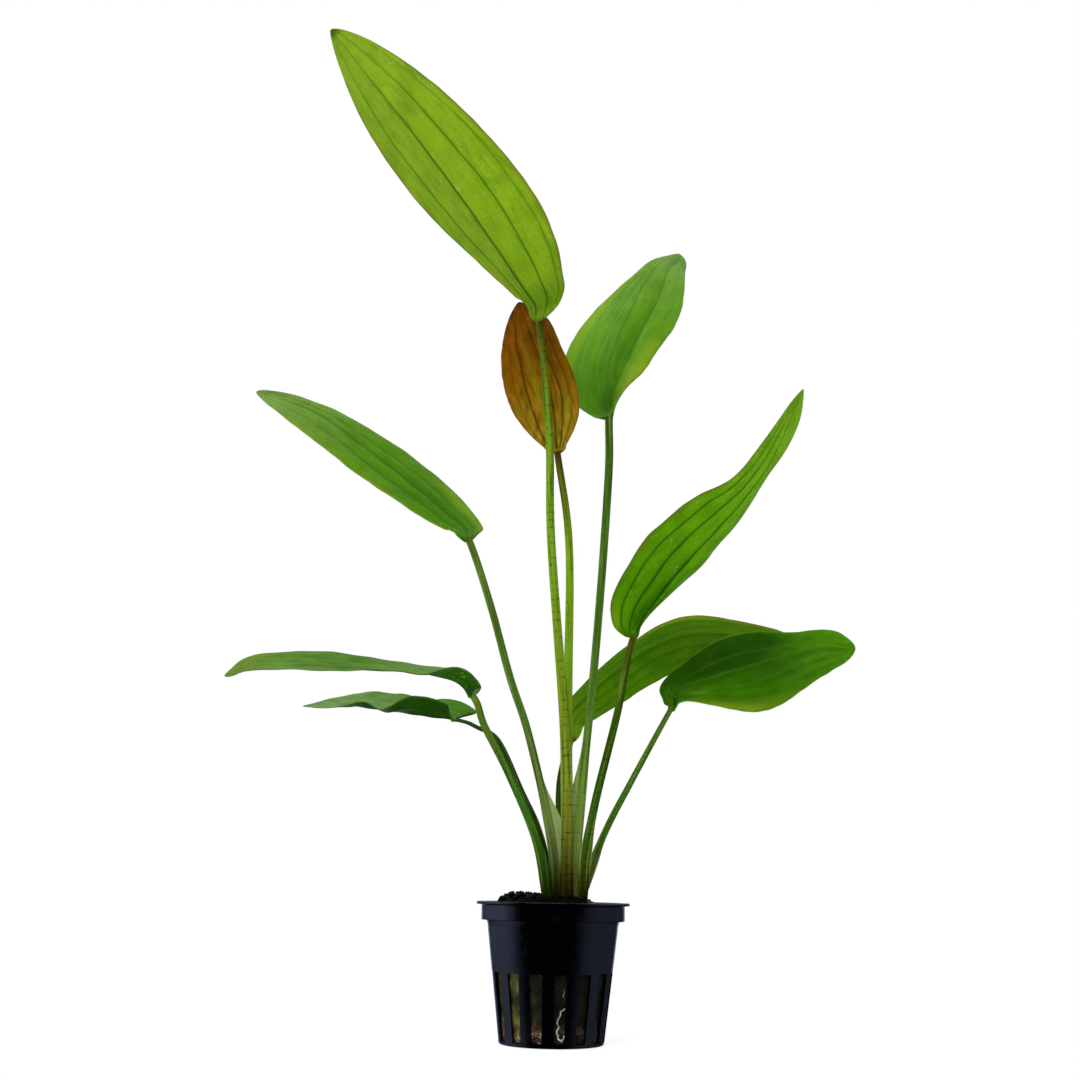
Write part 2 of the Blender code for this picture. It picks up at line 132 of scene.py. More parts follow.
class Leaf(NamedTuple):
    """One leaf: a round stalk that flattens into a blade.

    stalk runs from the foot to where the blade begins, and midrib goes on from there to the tip.
    turn is how far the upper face looks away from the front, fold lifts the halves about the
    midrib, curl bends each half on towards its margin, and left and right are how much of
    half_width each half has. These are given at even steps from the blade's base to its tip, and
    fold_right is there where the right half's fold differs. veins are (share of the half's width,
    strength), with the left half's shares below zero. lobes are how far the left and right halves
    reach back past the blade's base. ripple waves the margins: millimetres, waves along the blade,
    and where each side's wave starts. plait is how far the blade bulges between its veins. tones
    are darker (below zero) or yellower patches, partly the leaf's own colour and partly painted shade
    and painted light on folds turned from or towards the light: (share of half the width, place along
    the blade, reach across, reach along, strength).
    """

    stalk: list
    midrib: list
    radii: tuple
    sheath: tuple
    half_width: float
    base_fullness: float
    tip_fullness: float
    fold: tuple
    curl: tuple
    turn: tuple
    left: tuple = (1.0, 1.0)
    right: tuple = (1.0, 1.0)
    veins: tuple = ((0.0, 1.0), (-0.36, 0.6), (0.36, 0.6), (-0.7, 0.4), (0.7, 0.4))
    fold_right: tuple = ()
    lobes: tuple = (0.0, 0.0)
    ripple: tuple = (0.3, 3.0, 0.0, 0.4)
    plait: float = 0.35
    tones_and_shade: tuple = ()


LEAVES = {
    "leaf_tall": Leaf(
        stalk=[(5, -3.6, LEAF_FOOT), (3.5, -4, 105), (-2.8, -7, 180), (-4.2, -10, 220), (-9, -14, 264.5)],
        midrib=[(-15.5, -21, 276.5), (-49, -33, 320.5), (-88.5, -48, 366.5)],
        radii=(1.9, 1.35), sheath=(0.5, 0.4), half_width=22.9, base_fullness=0.51, tip_fullness=0.69,
        fold=(24, 24), curl=(20, 20), turn=(123, 148, 157), fold_right=(18, 18),
        left=(0.95, 1.03, 1.0, 1.0, 1.0, 1.0), right=(0.5, 0.72, 0.88, 0.94, 0.9, 0.68),
        veins=((0.0, 1.0), (0.53, 0.8), (-0.43, 0.9), (-0.83, 0.6)), plait=0.25, lobes=(1.5, 0.0),
        tones_and_shade=((0.6, 0.4, 0.5, 0.5, 0.2), (0.0, 0.04, 0.4, 0.08, -0.4), (0.0, 1.0, 1.0, 0.02, -1.6),
               (0.9, 0.15, 0.3, 0.1, 0.3)),
    ),
    "leaf_young": Leaf(
        stalk=[(4.8, 0.8, LEAF_FOOT), (4.3, 2.5, 121.5), (4, 2, 180), (-1, 3, 217)],
        midrib=[(-4.5, 1, 242.5), (-17, -4, 276)],
        radii=(2.0, 1.3), sheath=(0.3, 0.5), half_width=17.3, base_fullness=0.72, tip_fullness=0.85,
        fold=(29, 29), curl=(20, 20), turn=(-10, -22, -15),
        left=(0.9, 1.05, 1.0, 1.0, 1.0, 1.05), right=(0.8, 1.1, 1.05, 0.95, 1.1, 1.2),
        veins=((0.0, 0.9), (-0.5, 1.0), (0.3, 1.0), (0.62, 0.7), (-0.75, 0.4)), plait=0.6,
        tones_and_shade=((0.45, 0.25, 0.1, 0.2, 0.6), (0.4, 0.6, 0.5, 0.25, -0.3), (-0.25, 0.5, 0.1, 0.35, 0.4),
               (0.15, 0.75, 0.08, 0.2, 0.35)),
    ),
    "leaf_upper_right": Leaf(
        stalk=[(8.3, -1.8, LEAF_FOOT), (8.5, 0, 72.5), (15, 10, 146), (19.2, 17, 211), (19.4, 21, 237)],
        midrib=[(20, 26, 264), (37, 36, 306), (49.8, 48, 320.1)],
        radii=(1.45, 1.6), sheath=(2.6, 0.4), half_width=18.1, base_fullness=0.67, tip_fullness=0.5,
        fold=(-19, -19), curl=(1, 1), turn=(-21, -15, -26, -31),
        left=(1.45, 1.58, 1.22, 0.95, 0.47, 0.55), right=(0.0, 0.88, 0.96, 1.07, 0.91, 0.84),
        veins=((0.0, 1.0), (-0.3, 0.7), (0.42, 0.9), (-0.7, 0.4)), plait=0.9,
        tones_and_shade=((0.0, 0.02, 0.5, 0.12, -0.7), (0.2, 0.3, 0.13, 0.25, -0.5), (-0.15, 0.4, 0.09, 0.3, -0.4),
               (0.85, 0.25, 0.4, 0.25, 0.5), (-0.9, 0.45, 0.25, 0.5, 0.35), (0.45, 0.55, 0.15, 0.25, -0.3)),
    ),
    "leaf_right": Leaf(
        stalk=[
            (10.4, -3.8, LEAF_FOOT), (11.5, -6, 65.5), (14.6, -8.4, 84), (22, -14, 115), (27.5, -19, 142)
        ],
        midrib=[(38.5, -28, 159.5), (71, -40, 196.5), (85, -52, 225.5)],
        radii=(1.6, 1.25), sheath=(0.5, 0.5), half_width=18.1, base_fullness=0.38, tip_fullness=1.0,
        fold=(3, 3), curl=(21, 21), turn=(249, 241, 245, 248, 204),
        left=(0.1, 0.55, 0.85, 1.0, 1.2, 1.35), right=(0.9, 1.03, 1.01, 1.04, 1.06, 1.03, 0.9, 0.97, 1.06, 0.92, 0.95),
        veins=((0.0, 1.0), (0.4, 1.0), (0.74, 0.9), (-0.5, 0.3)), plait=0.5,
        fold_right=(7, 7), lobes=(0.0, 1.0), ripple=(0.3, 4.2, 0.4, 0.15),
        tones_and_shade=((0.0, 0.06, 0.35, 0.12, -0.9), (-0.7, 0.1, 0.5, 0.15, -0.6), (0.4, 0.22, 0.1, 0.15, -0.5),
               (0.0, 0.25, 0.12, 0.12, -0.6), (0.9, 0.05, 0.2, 0.06, 0.4)),
    ),
    "leaf_lower_right": Leaf(
        stalk=[(9.5, 0.5, LEAF_FOOT), (17.5, 0, 71.5), (27.9, -3, 92), (41.4, -10, 117)],
        midrib=[(46.5, -14, 125), (90.5, -18, 138.5), (107, -20, 139)],
        radii=(1.4, 0.95), sheath=(0.3, 0.6), half_width=14.4, base_fullness=0.65, tip_fullness=0.64,
        fold=(14, 14), curl=(4, 4), turn=(-60, -11, 39, 32),
        left=(0.75, 0.75, 0.85, 0.95, 0.95, 1.05), right=(0.9, 1.1, 1.15, 1.1, 1.0, 1.1),
        veins=((0.0, 1.0), (-0.4, 0.5), (0.35, 0.6), (0.68, 0.4)), lobes=(2.2, 0.0), plait=0.8,
        # The first tone, strongly darker over the left half, is painted shade
        tones_and_shade=((-0.6, 0.36, 0.6, 0.3, -1.7), (0.5, 0.06, 0.4, 0.08, -1.0), (0.45, 0.2, 0.15, 0.07, 0.4),
               (0.95, 0.4, 0.25, 0.3, 0.5), (-0.5, 0.05, 0.4, 0.06, 0.5), (0.3, 0.6, 0.35, 0.2, -0.3)),
    ),
    "leaf_back_right": Leaf(
        stalk=[(4.2, 4.2, LEAF_FOOT), (1.7, 6.5, 87.5), (5.5, 14, 107.5)],
        midrib=[(9, 24, 123), (47.5, 36, 151), (96.5, 48, 153)],
        radii=(1.6, 1.3), sheath=(0.2, 0.2), half_width=11.2, base_fullness=0.7, tip_fullness=0.74,
        fold=(15, 15), curl=(18, 18), turn=(47, 36, 31),
        left=(1.1, 0.95, 0.95, 1.05, 0.9, 1.1), right=(1.0, 1.0, 1.0, 1.1, 1.05, 1.0),
        veins=((0.0, 0.7), (-0.36, 0.45), (0.36, 0.45), (-0.7, 0.3), (0.7, 0.3)), plait=0.45,
        tones_and_shade=((0.2, 0.08, 0.7, 0.1, 0.5), (-0.9, 0.6, 0.15, 0.3, 0.5), (0.5, 0.85, 0.8, 0.2, -0.45)),
    ),
    "leaf_upper_left": Leaf(
        stalk=[
            (1.2, -0.3, LEAF_FOOT), (-1.5, 2.5, 73.5), (-10.3, 9, 109.5), (-17.7, 12, 131), (-26, 16, 159.5),
            (-35.3, 20, 186)
        ],
        midrib=[(-42.5, 27, 196.5), (-95.8, 38, 239.5), (-128.3, 48, 255.3)],
        radii=(1.5, 1.4), sheath=(0.4, 3.6), half_width=13.3, base_fullness=0.51, tip_fullness=0.61,
        fold=(3, 3), curl=(-13, -13), turn=(38, 40, 41),
        left=(0.85, 0.95, 1.05, 1.15, 1.2, 0.85), right=(0.85, 1.03, 0.95, 0.8, 0.6, 1.0),
        veins=((0.0, 1.0), (-0.45, 0.7), (0.45, 0.7)), lobes=(0.0, 1.5), plait=0.8,
        ripple=(0.12, 4.0, 0.0, 0.4),
        tones_and_shade=((-0.9, 0.5, 0.3, 0.4, 0.2), (0.1, 0.25, 0.2, 0.25, -0.4), (-0.45, 0.38, 0.1, 0.15, -0.4),
               (0.8, 0.15, 0.3, 0.15, 0.4), (0.7, 0.95, 0.4, 0.07, -0.5), (-0.15, 0.04, 0.2, 0.06, -0.6)),
    ),
    "leaf_left": Leaf(
        stalk=[(-2.2, -2.6, LEAF_FOOT), (-6.6, -3.5, 70.5), (-16.7, -6.5, 93.3), (-25.8, -10, 110), (-31, -12, 121.3)],
        midrib=[(-46.5, -16, 128.2), (-103.5, -19, 130.7), (-119, -20, 125.5)],
        radii=(1.7, 1.25), sheath=(0.0, 0.4), half_width=14.8, base_fullness=0.46, tip_fullness=0.67,
        fold=(50, 38, 3, -1, -1, -1, -1, -1, -1, -1, -1), curl=(7, 7), turn=(62, 76, 71, 65, 55),
        left=(0.9, 0.95, 1.0, 1.0, 1.0, 1.05), right=(1.1, 0.95, 1.0, 1.05, 1.0, 1.0),
        fold_right=(-3, -2, -1, -1), lobes=(4.0, 0.0),
        tones_and_shade=((0.0, 0.45, 0.3, 0.15, 0.2), (0.5, 0.95, 0.5, 0.1, 0.1), (-0.3, 0.62, 0.3, 0.12, -0.3)),
        veins=((0.0, 1.0), (-0.45, 0.6), (0.45, 0.6)), plait=0.6,
    ),
    "leaf_lower_left": Leaf(
        stalk=[
            (-1.4, 2.4, LEAF_FOOT), (-5, 4.5, 71.5), (-12.6, 7.5, 88.5), (-21.5, 13.5, 107),
            (-29.8, 17.5, 112.3), (-37.9, 21, 115.4)
        ],
        midrib=[(-60.4, 26, 118.6), (-80.8, 33, 121.6), (-100, 38, 121.7)],
        radii=(1.5, 0.7), sheath=(0.3, 0.3), half_width=12.5, base_fullness=0.35, tip_fullness=0.9,
        fold=(45, 43, 38, 26, 8, 17, 16, 6, 2, 2, 2), curl=(19, 19), turn=(69, 66, 66),
        fold_right=(6, 11, 5, 0, 5, 11, 13, 12, 11, 10, 10), lobes=(0.0, 8.0),
        veins=((0.0, 1.0), (-0.5, 0.5), (0.5, 0.5)), ripple=(0.4, 4.0, 0.3, 0.75), plait=0.3,
    ),
}


class Skin(NamedTuple):
    """A leaf's colours, from 0 to 255 as a screen shows them. stalk goes from the foot to the blade,
    upper and lower from the blade's base to its tip, vein_upper and vein_lower are the veins'."""

    stalk: tuple
    upper: tuple
    lower: tuple
    vein_upper: tuple
    vein_lower: tuple
    margin: tuple
    glow: float = 0.4  # how much light passes through
    ticks: float = 0.3  # how dark the stalk's cross walls show
    rungs: float = 0.3  # how clearly the cross veins show
    streaks: float = 0.4  # how strong the lengthwise streaks are
    mottle: float = 0.35  # how strong the cloudy paler and darker patches are
    gloss: float = 0.06


SKINS = {
    "leaf_tall": Skin(
        stalk=((60, 28, 5), (140, 152, 42), (124, 152, 28), (134, 168, 38), (124, 160, 36), (80, 84, 22)),
        upper=((60, 110, 15), (70, 125, 20), (80, 130, 20)),
        lower=((128, 162, 24), (138, 170, 32), (143, 172, 42)),
        vein_upper=(95, 140, 50), vein_lower=(36, 84, 1), margin=(120, 110, 30),
        glow=0.45, ticks=0.8, streaks=0.45, rungs=0.6,
    ),
    "leaf_young": Skin(
        stalk=((95, 95, 20), (130, 155, 30), (135, 170, 28), (138, 172, 34), (80, 42, 12)),
        upper=((170, 138, 34), (146, 92, 10), (142, 70, 12)),
        lower=((150, 130, 25), (130, 85, 6), (120, 58, 4)),
        vein_upper=(44, 20, 0), vein_lower=(44, 20, 0), margin=(120, 62, 12), ticks=0.4,
        streaks=1.0, mottle=0.12, rungs=0.1,
    ),
    "leaf_upper_right": Skin(
        stalk=((152, 162, 80), (116, 152, 60), (66, 106, 24), (74, 118, 30), (60, 90, 6)),
        upper=((66, 116, 2), (88, 136, 20), (104, 138, 50)),
        lower=((95, 145, 25), (105, 150, 30), (110, 150, 35)),
        vein_upper=(58, 108, 10), vein_lower=(45, 95, 10), margin=(100, 140, 35), ticks=0.4,
        gloss=0.22,
    ),
    "leaf_right": Skin(
        stalk=((58, 60, 14), (52, 86, 14), (54, 90, 18), (56, 84, 10), (72, 60, 14)),
        upper=((60, 110, 15), (70, 125, 20), (80, 130, 20)),
        lower=((76, 138, 2), (100, 156, 12), (130, 176, 40)),
        vein_upper=(90, 140, 50), vein_lower=(16, 60, 0), margin=(100, 96, 30), ticks=0.8, gloss=0.01,
        rungs=0.45,
    ),
    "leaf_lower_right": Skin(
        stalk=((140, 116, 96), (56, 94, 22), (66, 110, 24), (86, 132, 34), (80, 104, 26)),
        upper=((56, 106, 2), (56, 112, 3), (80, 138, 8)),
        lower=((85, 130, 20), (90, 135, 22), (95, 140, 25)),
        vein_upper=(72, 118, 26), vein_lower=(50, 95, 10), margin=(95, 145, 15), streaks=0.6,
    ),
    "leaf_back_right": Skin(
        stalk=((50, 62, 8), (32, 60, 8), (44, 74, 10)),
        upper=((106, 158, 8), (76, 126, 5), (88, 118, 10)),
        lower=((80, 130, 12), (85, 125, 18), (90, 120, 22)),
        vein_upper=(40, 75, 2), vein_lower=(40, 75, 2), margin=(100, 72, 20), rungs=0.45,
    ),
    "leaf_upper_left": Skin(
        # The stalk's near-black first colour is painted shade at the crowded foot, and the upper face's paler, bluer
        # last colour is partly painted sheen
        stalk=((16, 12, 3), (108, 122, 62), (92, 120, 52), (74, 106, 34), (72, 100, 32), (84, 112, 26)),
        upper=((64, 118, 6), (78, 126, 14), (110, 136, 60)),
        lower=((85, 130, 20), (90, 135, 22), (95, 140, 25)),
        vein_upper=(54, 98, 14), vein_lower=(50, 95, 10), margin=(120, 140, 50), gloss=0.12,
        streaks=0.2,
    ),
    "leaf_left": Skin(
        # The underside's dark greens are painted shade, the stalk's dark foot is partly painted shade, and the upper
        # face's pale grey-green first colour is partly painted sheen
        stalk=((26, 58, 4), (44, 98, 12), (66, 116, 32), (86, 122, 30), (100, 120, 22)),
        upper=((112, 140, 78), (86, 124, 36), (68, 110, 12), (84, 124, 32), (106, 124, 34)),
        lower=((28, 80, 3), (30, 85, 4), (45, 95, 8)),
        vein_upper=(100, 140, 55), vein_lower=(18, 60, 2), margin=(100, 110, 40), gloss=0.08,
    ),
    "leaf_lower_left": Skin(
        # The stalk's and underside's near-black greens are painted shade, as this leaf stands in the others' shade,
        # and the upper face's pale grey-greens are partly painted sheen
        stalk=((8, 18, 4), (10, 28, 5), (18, 45, 8), (30, 62, 10)),
        upper=((60, 110, 15), (95, 130, 65), (108, 140, 80)),
        lower=((18, 60, 3), (9, 46, 1), (14, 56, 2)),
        vein_upper=(100, 140, 70), vein_lower=(10, 40, 1), margin=(70, 115, 30), rungs=0.1, gloss=0.15,
    ),
}


def linear(colour):
    """A screen colour, 0 to 255, as the linear colour with alpha that shaders take."""
    parts = [part / 255 for part in colour]
    return (*(p / 12.92 if p < 0.04 else ((p + 0.055) / 1.055) ** 2.4 for p in parts), 1.0)


class Nodes:
    """Short ways to add nodes to a tree. An input given as a socket is linked."""

    def __init__(self, tree):
        self.tree = tree

    def feed(self, node, inputs):
        for key, value in inputs.items():
            if isinstance(value, bpy.types.NodeSocket):
                self.tree.links.new(value, node.inputs[key])
            else:
                node.inputs[key].default_value = value

    def add(self, kind, inputs=(), **settings):
        node = self.tree.nodes.new("ShaderNode" + kind)
        for key, value in settings.items():
            setattr(node, key, value)
        self.feed(node, dict(inputs))
        return node

    def coords(self):
        return self.add("TexCoord").outputs["Object"]

    def attribute(self, name):
        return self.add("Attribute", attribute_name=name).outputs["Fac"]

    def leaf_map(self):
        return self.add("UVMap", uv_map="grain").outputs["UV"]

    def scaled(self, place, scale):
        return self.add("Mapping", {"Vector": place, "Scale": scale}).outputs["Vector"]

    def noise(self, place, scale, detail=3.0, roughness=0.5, distortion=0.0):
        inputs = {
            "Vector": place, "Scale": scale, "Detail": detail, "Roughness": roughness,
            "Distortion": distortion,
        }
        return self.add("TexNoise", inputs).outputs["Fac"]

    def cells(self, place, scale, feature="F1"):
        node = self.add("TexVoronoi", {"Vector": place, "Scale": scale}, feature=feature)
        return node.outputs["Distance"]

    def span(self, value, low, high, start=0.0, end=1.0):
        inputs = {"Value": value, "From Min": low, "From Max": high, "To Min": start, "To Max": end}
        return self.add("MapRange", inputs, interpolation_type="SMOOTHSTEP").outputs["Result"]

    def calc(self, operation, first, second=0.0):
        return self.add("Math", {0: first, 1: second}, operation=operation).outputs[0]

    def lines(self, phase, width):
        """Thin lines wherever phase is a whole number."""
        return self.span(self.calc("PINGPONG", phase, 0.5), 0.0, width, 1.0, 0.0)

    def ramp(self, value, stops):
        node = self.add("ValToRGB", {"Fac": value})
        points = node.color_ramp.elements
        while len(points) < len(stops):
            points.new(0.5)
        for point, (place, colour) in zip(points, stops):
            point.position = place
            point.color = colour
        return node.outputs["Color"]

    def even_ramp(self, value, colours, start=0.0, end=1.0):
        step = (end - start) / (len(colours) - 1)
        return self.ramp(value, [(start + step * k, linear(c)) for k, c in enumerate(colours)])

    def blend(self, share, first, second, how="MIX"):
        node = self.add("Mix", data_type="RGBA", blend_type=how, clamp_factor=True)
        self.feed(node, {0: share, 6: first, 7: second})
        return node.outputs[2]

    def bump(self, height, strength, distance, under=None):
        inputs = {"Height": height, "Strength": strength, "Distance": distance}
        if under is not None:
            inputs["Normal"] = under
        return self.add("Bump", inputs).outputs["Normal"]


class Finish(Nodes):
    """A material and its nodes."""

    def __init__(self, name):
        self.material = bpy.data.materials.new(name)
        self.material.use_nodes = True
        super().__init__(self.material.node_tree)
        self.shader = self.tree.nodes["Principled BSDF"]
        self.output = self.tree.nodes["Material Output"]


def leaf_finish(name, skin):
    """Living leaf: colours along it, veins and cross veins, browned margins and a soft gloss."""
    f = Finish(name + "_skin")
    place, grain = f.coords(), f.leaf_map()
    along, upper, vein = f.attribute("along"), f.attribute("upper"), f.attribute("vein")
    edge, stalk_part = f.attribute("edge"), f.attribute("stalk_part")
    split = f.add("SeparateXYZ", {0: grain})
    aside, length = split.outputs["X"], split.outputs["Y"]

    top = f.even_ramp(along, skin.upper, start=0.5)
    under = f.even_ramp(along, skin.lower, start=0.5)
    blade = f.blend(upper, under, top)
    mottle = f.calc("ADD", f.noise(place, 110.0, 3.0), f.calc("MULTIPLY", f.noise(place, 650.0, 2.0), 0.5))
    brush = f.add("CombineXYZ", {
        "X": f.calc("MULTIPLY", aside, 0.5), "Y": f.calc("MULTIPLY", along, 22.0),
        "Z": float(len(name)),
    }).outputs["Vector"]
    brush = f.noise(brush, 1.0, 2.0)
    paler = f.blend(1.0, blade, (1.45, 1.3, 1.4, 1.0), "MULTIPLY")
    darker = f.blend(1.0, blade, (0.5, 0.62, 0.5, 1.0), "MULTIPLY")
    for cloud, middle, strength in ((brush, 0.5, skin.streaks), (mottle, 0.75, skin.mottle)):
        blade = f.blend(f.span(cloud, middle, middle + 0.2, 0.0, strength), blade, paler)
        blade = f.blend(f.span(cloud, middle, middle - 0.2, 0.0, strength), blade, darker)
    # tone below zero darkens the blade and above zero yellows it: partly the leaf's own patches, partly painted shade
    # and painted light on folds turned from or towards the light
    tone = f.attribute("tone")
    dark = f.blend(1.0, blade, (0.3, 0.42, 0.35, 1.0), "MULTIPLY")
    blade = f.blend(f.span(tone, 0.0, -1.0), blade, dark)
    blade = f.blend(f.span(tone, 0.0, 1.0), blade, linear((165, 180, 45)))
    slant = f.calc("MULTIPLY", f.calc("ABSOLUTE", aside), 0.09)
    warp = f.calc("MULTIPLY", f.noise(f.scaled(grain, (0.22, 0.14, 1.0)), 1.0, 2.0), 3.2)
    rungs = f.lines(f.calc("ADD", f.calc("MULTIPLY", length, 0.2), f.calc("ADD", slant, warp)), 0.07)
    broken = f.span(f.noise(f.scaled(grain, (0.35, 0.2, 1.0)), 1.0, 1.0), 0.48, 0.62)
    rungs = f.calc("MULTIPLY", rungs, broken)
    # Cross veins show pale on the underside and dark on the upper face; the dark is partly painted shade in their
    # sunken creases
    rung_colour_and_crease_shade = f.blend(upper, linear((165, 190, 95)), linear((60, 100, 10)))
    blade = f.blend(f.calc("MULTIPLY", rungs, skin.rungs), blade, rung_colour_and_crease_shade)
    vein_colour = f.blend(upper, linear(skin.vein_lower), linear(skin.vein_upper))
    blade = f.blend(f.calc("MULTIPLY", vein, 0.92), blade, vein_colour)
    ragged = f.calc("ADD", edge, f.calc("MULTIPLY", f.noise(place, 90.0, 3.0), 0.12))
    blade = f.blend(f.span(ragged, 0.97, 1.06, 0.0, 0.75), blade, linear(skin.margin))

    stalk = f.even_ramp(along, skin.stalk, end=0.5)
    # Pale and dark lengthwise streaks: partly the stalk's own colour, partly painted light and painted shade on its
    # ridges
    streaks = f.noise(f.scaled(grain, (1.1, 0.03, 1.0)), 1.0, 2.0)
    stalk = f.blend(f.span(streaks, 0.5, 0.7, 0.0, 0.5), stalk, linear((150, 175, 75)))
    stalk = f.blend(f.span(streaks, 0.52, 0.3, 0.0, 0.75), stalk, linear((24, 44, 6)))
    wing = f.calc("MULTIPLY", f.attribute("wing"), f.span(along, 0.02, 0.07))
    stalk = f.blend(wing, stalk, linear((168, 184, 120)))
    drift = f.calc("MULTIPLY", f.noise(f.scaled(grain, (0.06, 0.16, 1.0)), 1.0, 1.0), 1.6)
    walls = f.lines(f.calc("ADD", f.calc("MULTIPLY", length, 0.34), drift), 0.14)
    walls = f.calc("MULTIPLY", walls, f.span(f.noise(f.scaled(grain, (0.9, 0.4, 1.0)), 1.0, 1.0), 0.45, 0.6))
    walls = f.calc("MULTIPLY", f.calc("MULTIPLY", walls, stalk_part), skin.ticks)
    stalk = f.blend(walls, stalk, linear((36, 44, 10)))
    # Red-brown and darker towards the foot: partly the stalk's own colour, partly painted shade where the feet crowd
    # together above the soil
    stained_and_shaded = f.blend(1.0, stalk, (0.4, 0.19, 0.1, 1.0), "MULTIPLY")
    foot_stain_and_shade = f.calc("MULTIPLY", f.span(along, 0.055, 0.0), f.span(streaks, 0.25, 0.6, 0.35, 0.9))
    stalk = f.blend(foot_stain_and_shade, stalk, stained_and_shaded)
    colour = f.blend(stalk_part, blade, stalk)

    height = f.calc("ADD", f.calc("MULTIPLY", rungs, -0.4), f.noise(place, 220.0, 2.0))
    normal = f.bump(height, 0.4, 0.0002)
    gloss = f.span(f.noise(place, 120.0, 4.0), 0.3, 0.7, 0.3, 0.5)
    f.feed(f.shader, {
        "Base Color": colour, "Roughness": gloss, "Normal": normal, "Specular IOR Level": skin.gloss,
    })
    lines = f.calc("MAXIMUM", f.calc("MULTIPLY", vein, f.calc("SUBTRACT", 1.0, upper)), walls)
    tint = f.calc("MULTIPLY", f.calc("SUBTRACT", 1.0, lines), 0.35)
    light = f.blend(tint, colour, linear((170, 215, 30)))
    through = f.add("BsdfTranslucent", {"Color": light, "Normal": normal})
    both = f.add("MixShader", {0: skin.glow, 1: f.shader.outputs[0], 2: through.outputs[0]})
    f.tree.links.new(both.outputs[0], f.output.inputs["Surface"])
    return f.material


def plastic_finish():
    """Black moulded plastic: nearly smooth, faintly rippled and dusty, with fine scuffs."""
    f = Finish("pot_plastic")
    place = f.coords()
    dust = f.span(f.noise(place, 900.0, 5.0, 0.7), 0.62, 0.8)
    colour = f.blend(f.calc("MULTIPLY", dust, 0.06), linear((1, 1, 3)), linear((50, 50, 48)))
    ripple = f.noise(place, 130.0, 3.0)
    rough = f.span(f.noise(place, 400.0, 4.0), 0.3, 0.75, 0.16, 0.32)
    height = f.calc("ADD", ripple, f.calc("MULTIPLY", f.noise(place, 2500.0, 2.0), 0.08))
    f.feed(f.shader, {
        "Base Color": colour, "Roughness": rough, "Specular IOR Level": 0.5,
        "Normal": f.bump(height, 0.25, 0.0004),
    })
    return f.material


def wool_finish():
    """Soaked mineral wool: olive, green, brown and near black in cloudy patches, with brown threads, and darker, then
    near black, towards +X.
    """
    f = Finish("mineral_wool")
    place = f.coords()
    coarse = f.noise(place, 150.0, 4.0, 0.6)
    colour = f.ramp(coarse, [
        (0.3, linear((18, 16, 8))), (0.45, linear((52, 50, 20))), (0.58, linear((88, 92, 34))),
        (0.75, linear((128, 128, 66))),
    ])
    threads = f.noise(f.scaled(place, (1.0, 1.0, 0.35)), 900.0, 4.0, 0.7)
    colour = f.blend(f.span(threads, 0.5, 0.7, 0.0, 0.6), colour, linear((40, 24, 10)))
    # Darker towards +X from about 11 mm left of the axis, and near black from about 3 mm left of it
    x = f.add("SeparateXYZ", {0: place}).outputs["X"]
    colour = f.blend(f.span(x, -0.011, -0.008, 0.0, 0.75), colour, linear((8, 6, 2)))
    colour = f.blend(f.span(x, -0.003, 0.0, 0.0, 0.75), colour, linear((2, 3, 1)))
    f.feed(f.shader, {
        "Base Color": colour, "Roughness": 0.75, "Specular IOR Level": 0.3,
        "Normal": f.bump(threads, 0.8, 0.0004),
    })
    return f.material


def fibre_finish():
    f = Finish("wool_fibres")
    place = f.coords()
    colour = f.ramp(f.noise(place, 300.0, 2.0), [
        (0.35, linear((84, 42, 22))), (0.5, linear((140, 98, 64))), (0.66, linear((200, 190, 160))),
    ])
    # Darker towards +X from about 4 mm left of the axis
    x = f.add("SeparateXYZ", {0: place}).outputs["X"]
    colour = f.blend(f.span(x, -0.004, -0.001, 0.0, 0.8), colour, linear((20, 12, 6)))
    f.feed(f.shader, {"Base Color": colour, "Roughness": 0.6})
    return f.material


def soil_finish():
    """Wet black substrate: near black, with brown crumbs and a damp glint."""
    f = Finish("soil")
    place = f.coords()
    tone = f.noise(place, 500.0, 4.0, 0.6)
    colour = f.ramp(tone, [
        (0.35, linear((2, 2, 3))), (0.6, linear((7, 7, 6))), (0.8, linear((30, 22, 15))),
    ])
    damp = f.span(f.noise(place, 900.0, 3.0), 0.35, 0.7, 0.4, 0.8)
    f.feed(f.shader, {
        "Base Color": colour, "Roughness": damp, "Specular IOR Level": 0.06,
        "Normal": f.bump(f.noise(place, 2200.0, 4.0, 0.7), 0.7, 0.0004),
    })
    return f.material


def rootstock_finish():
    """Near-black brown, ringed and fibrous stem: partly its own dark brown, partly painted shade among the crowded
    leaf feet.
    """
    f = Finish("rootstock")
    place = f.coords()
    rings = f.noise(f.scaled(place, (1.0, 1.0, 6.0)), 260.0, 4.0, 0.6)
    # Nearly black: its own dark brown deepened by painted shade, as it sits deep among the leaf feet
    colour = f.ramp(rings, [
        (0.3, linear((3, 2, 2))), (0.55, linear((12, 8, 5))), (0.8, linear((38, 26, 14))),
    ])
    f.feed(f.shader, {"Base Color": colour, "Roughness": 0.7, "Normal": f.bump(rings, 0.8, 0.0006)})
    return f.material


def root_finish():
    """Living root: cream, a little glassy, with brown flecks."""
    f = Finish("white_root")
    tone = f.noise(f.coords(), 420.0, 3.0)
    colour = f.ramp(tone, [
        (0.35, linear((70, 66, 52))), (0.5, linear((150, 154, 142))), (0.65, linear((205, 210, 202))),
    ])
    f.feed(f.shader, {
        "Base Color": colour, "Roughness": 0.45, "Normal": f.bump(tone, 0.3, 0.0002),
    })
    return f.material


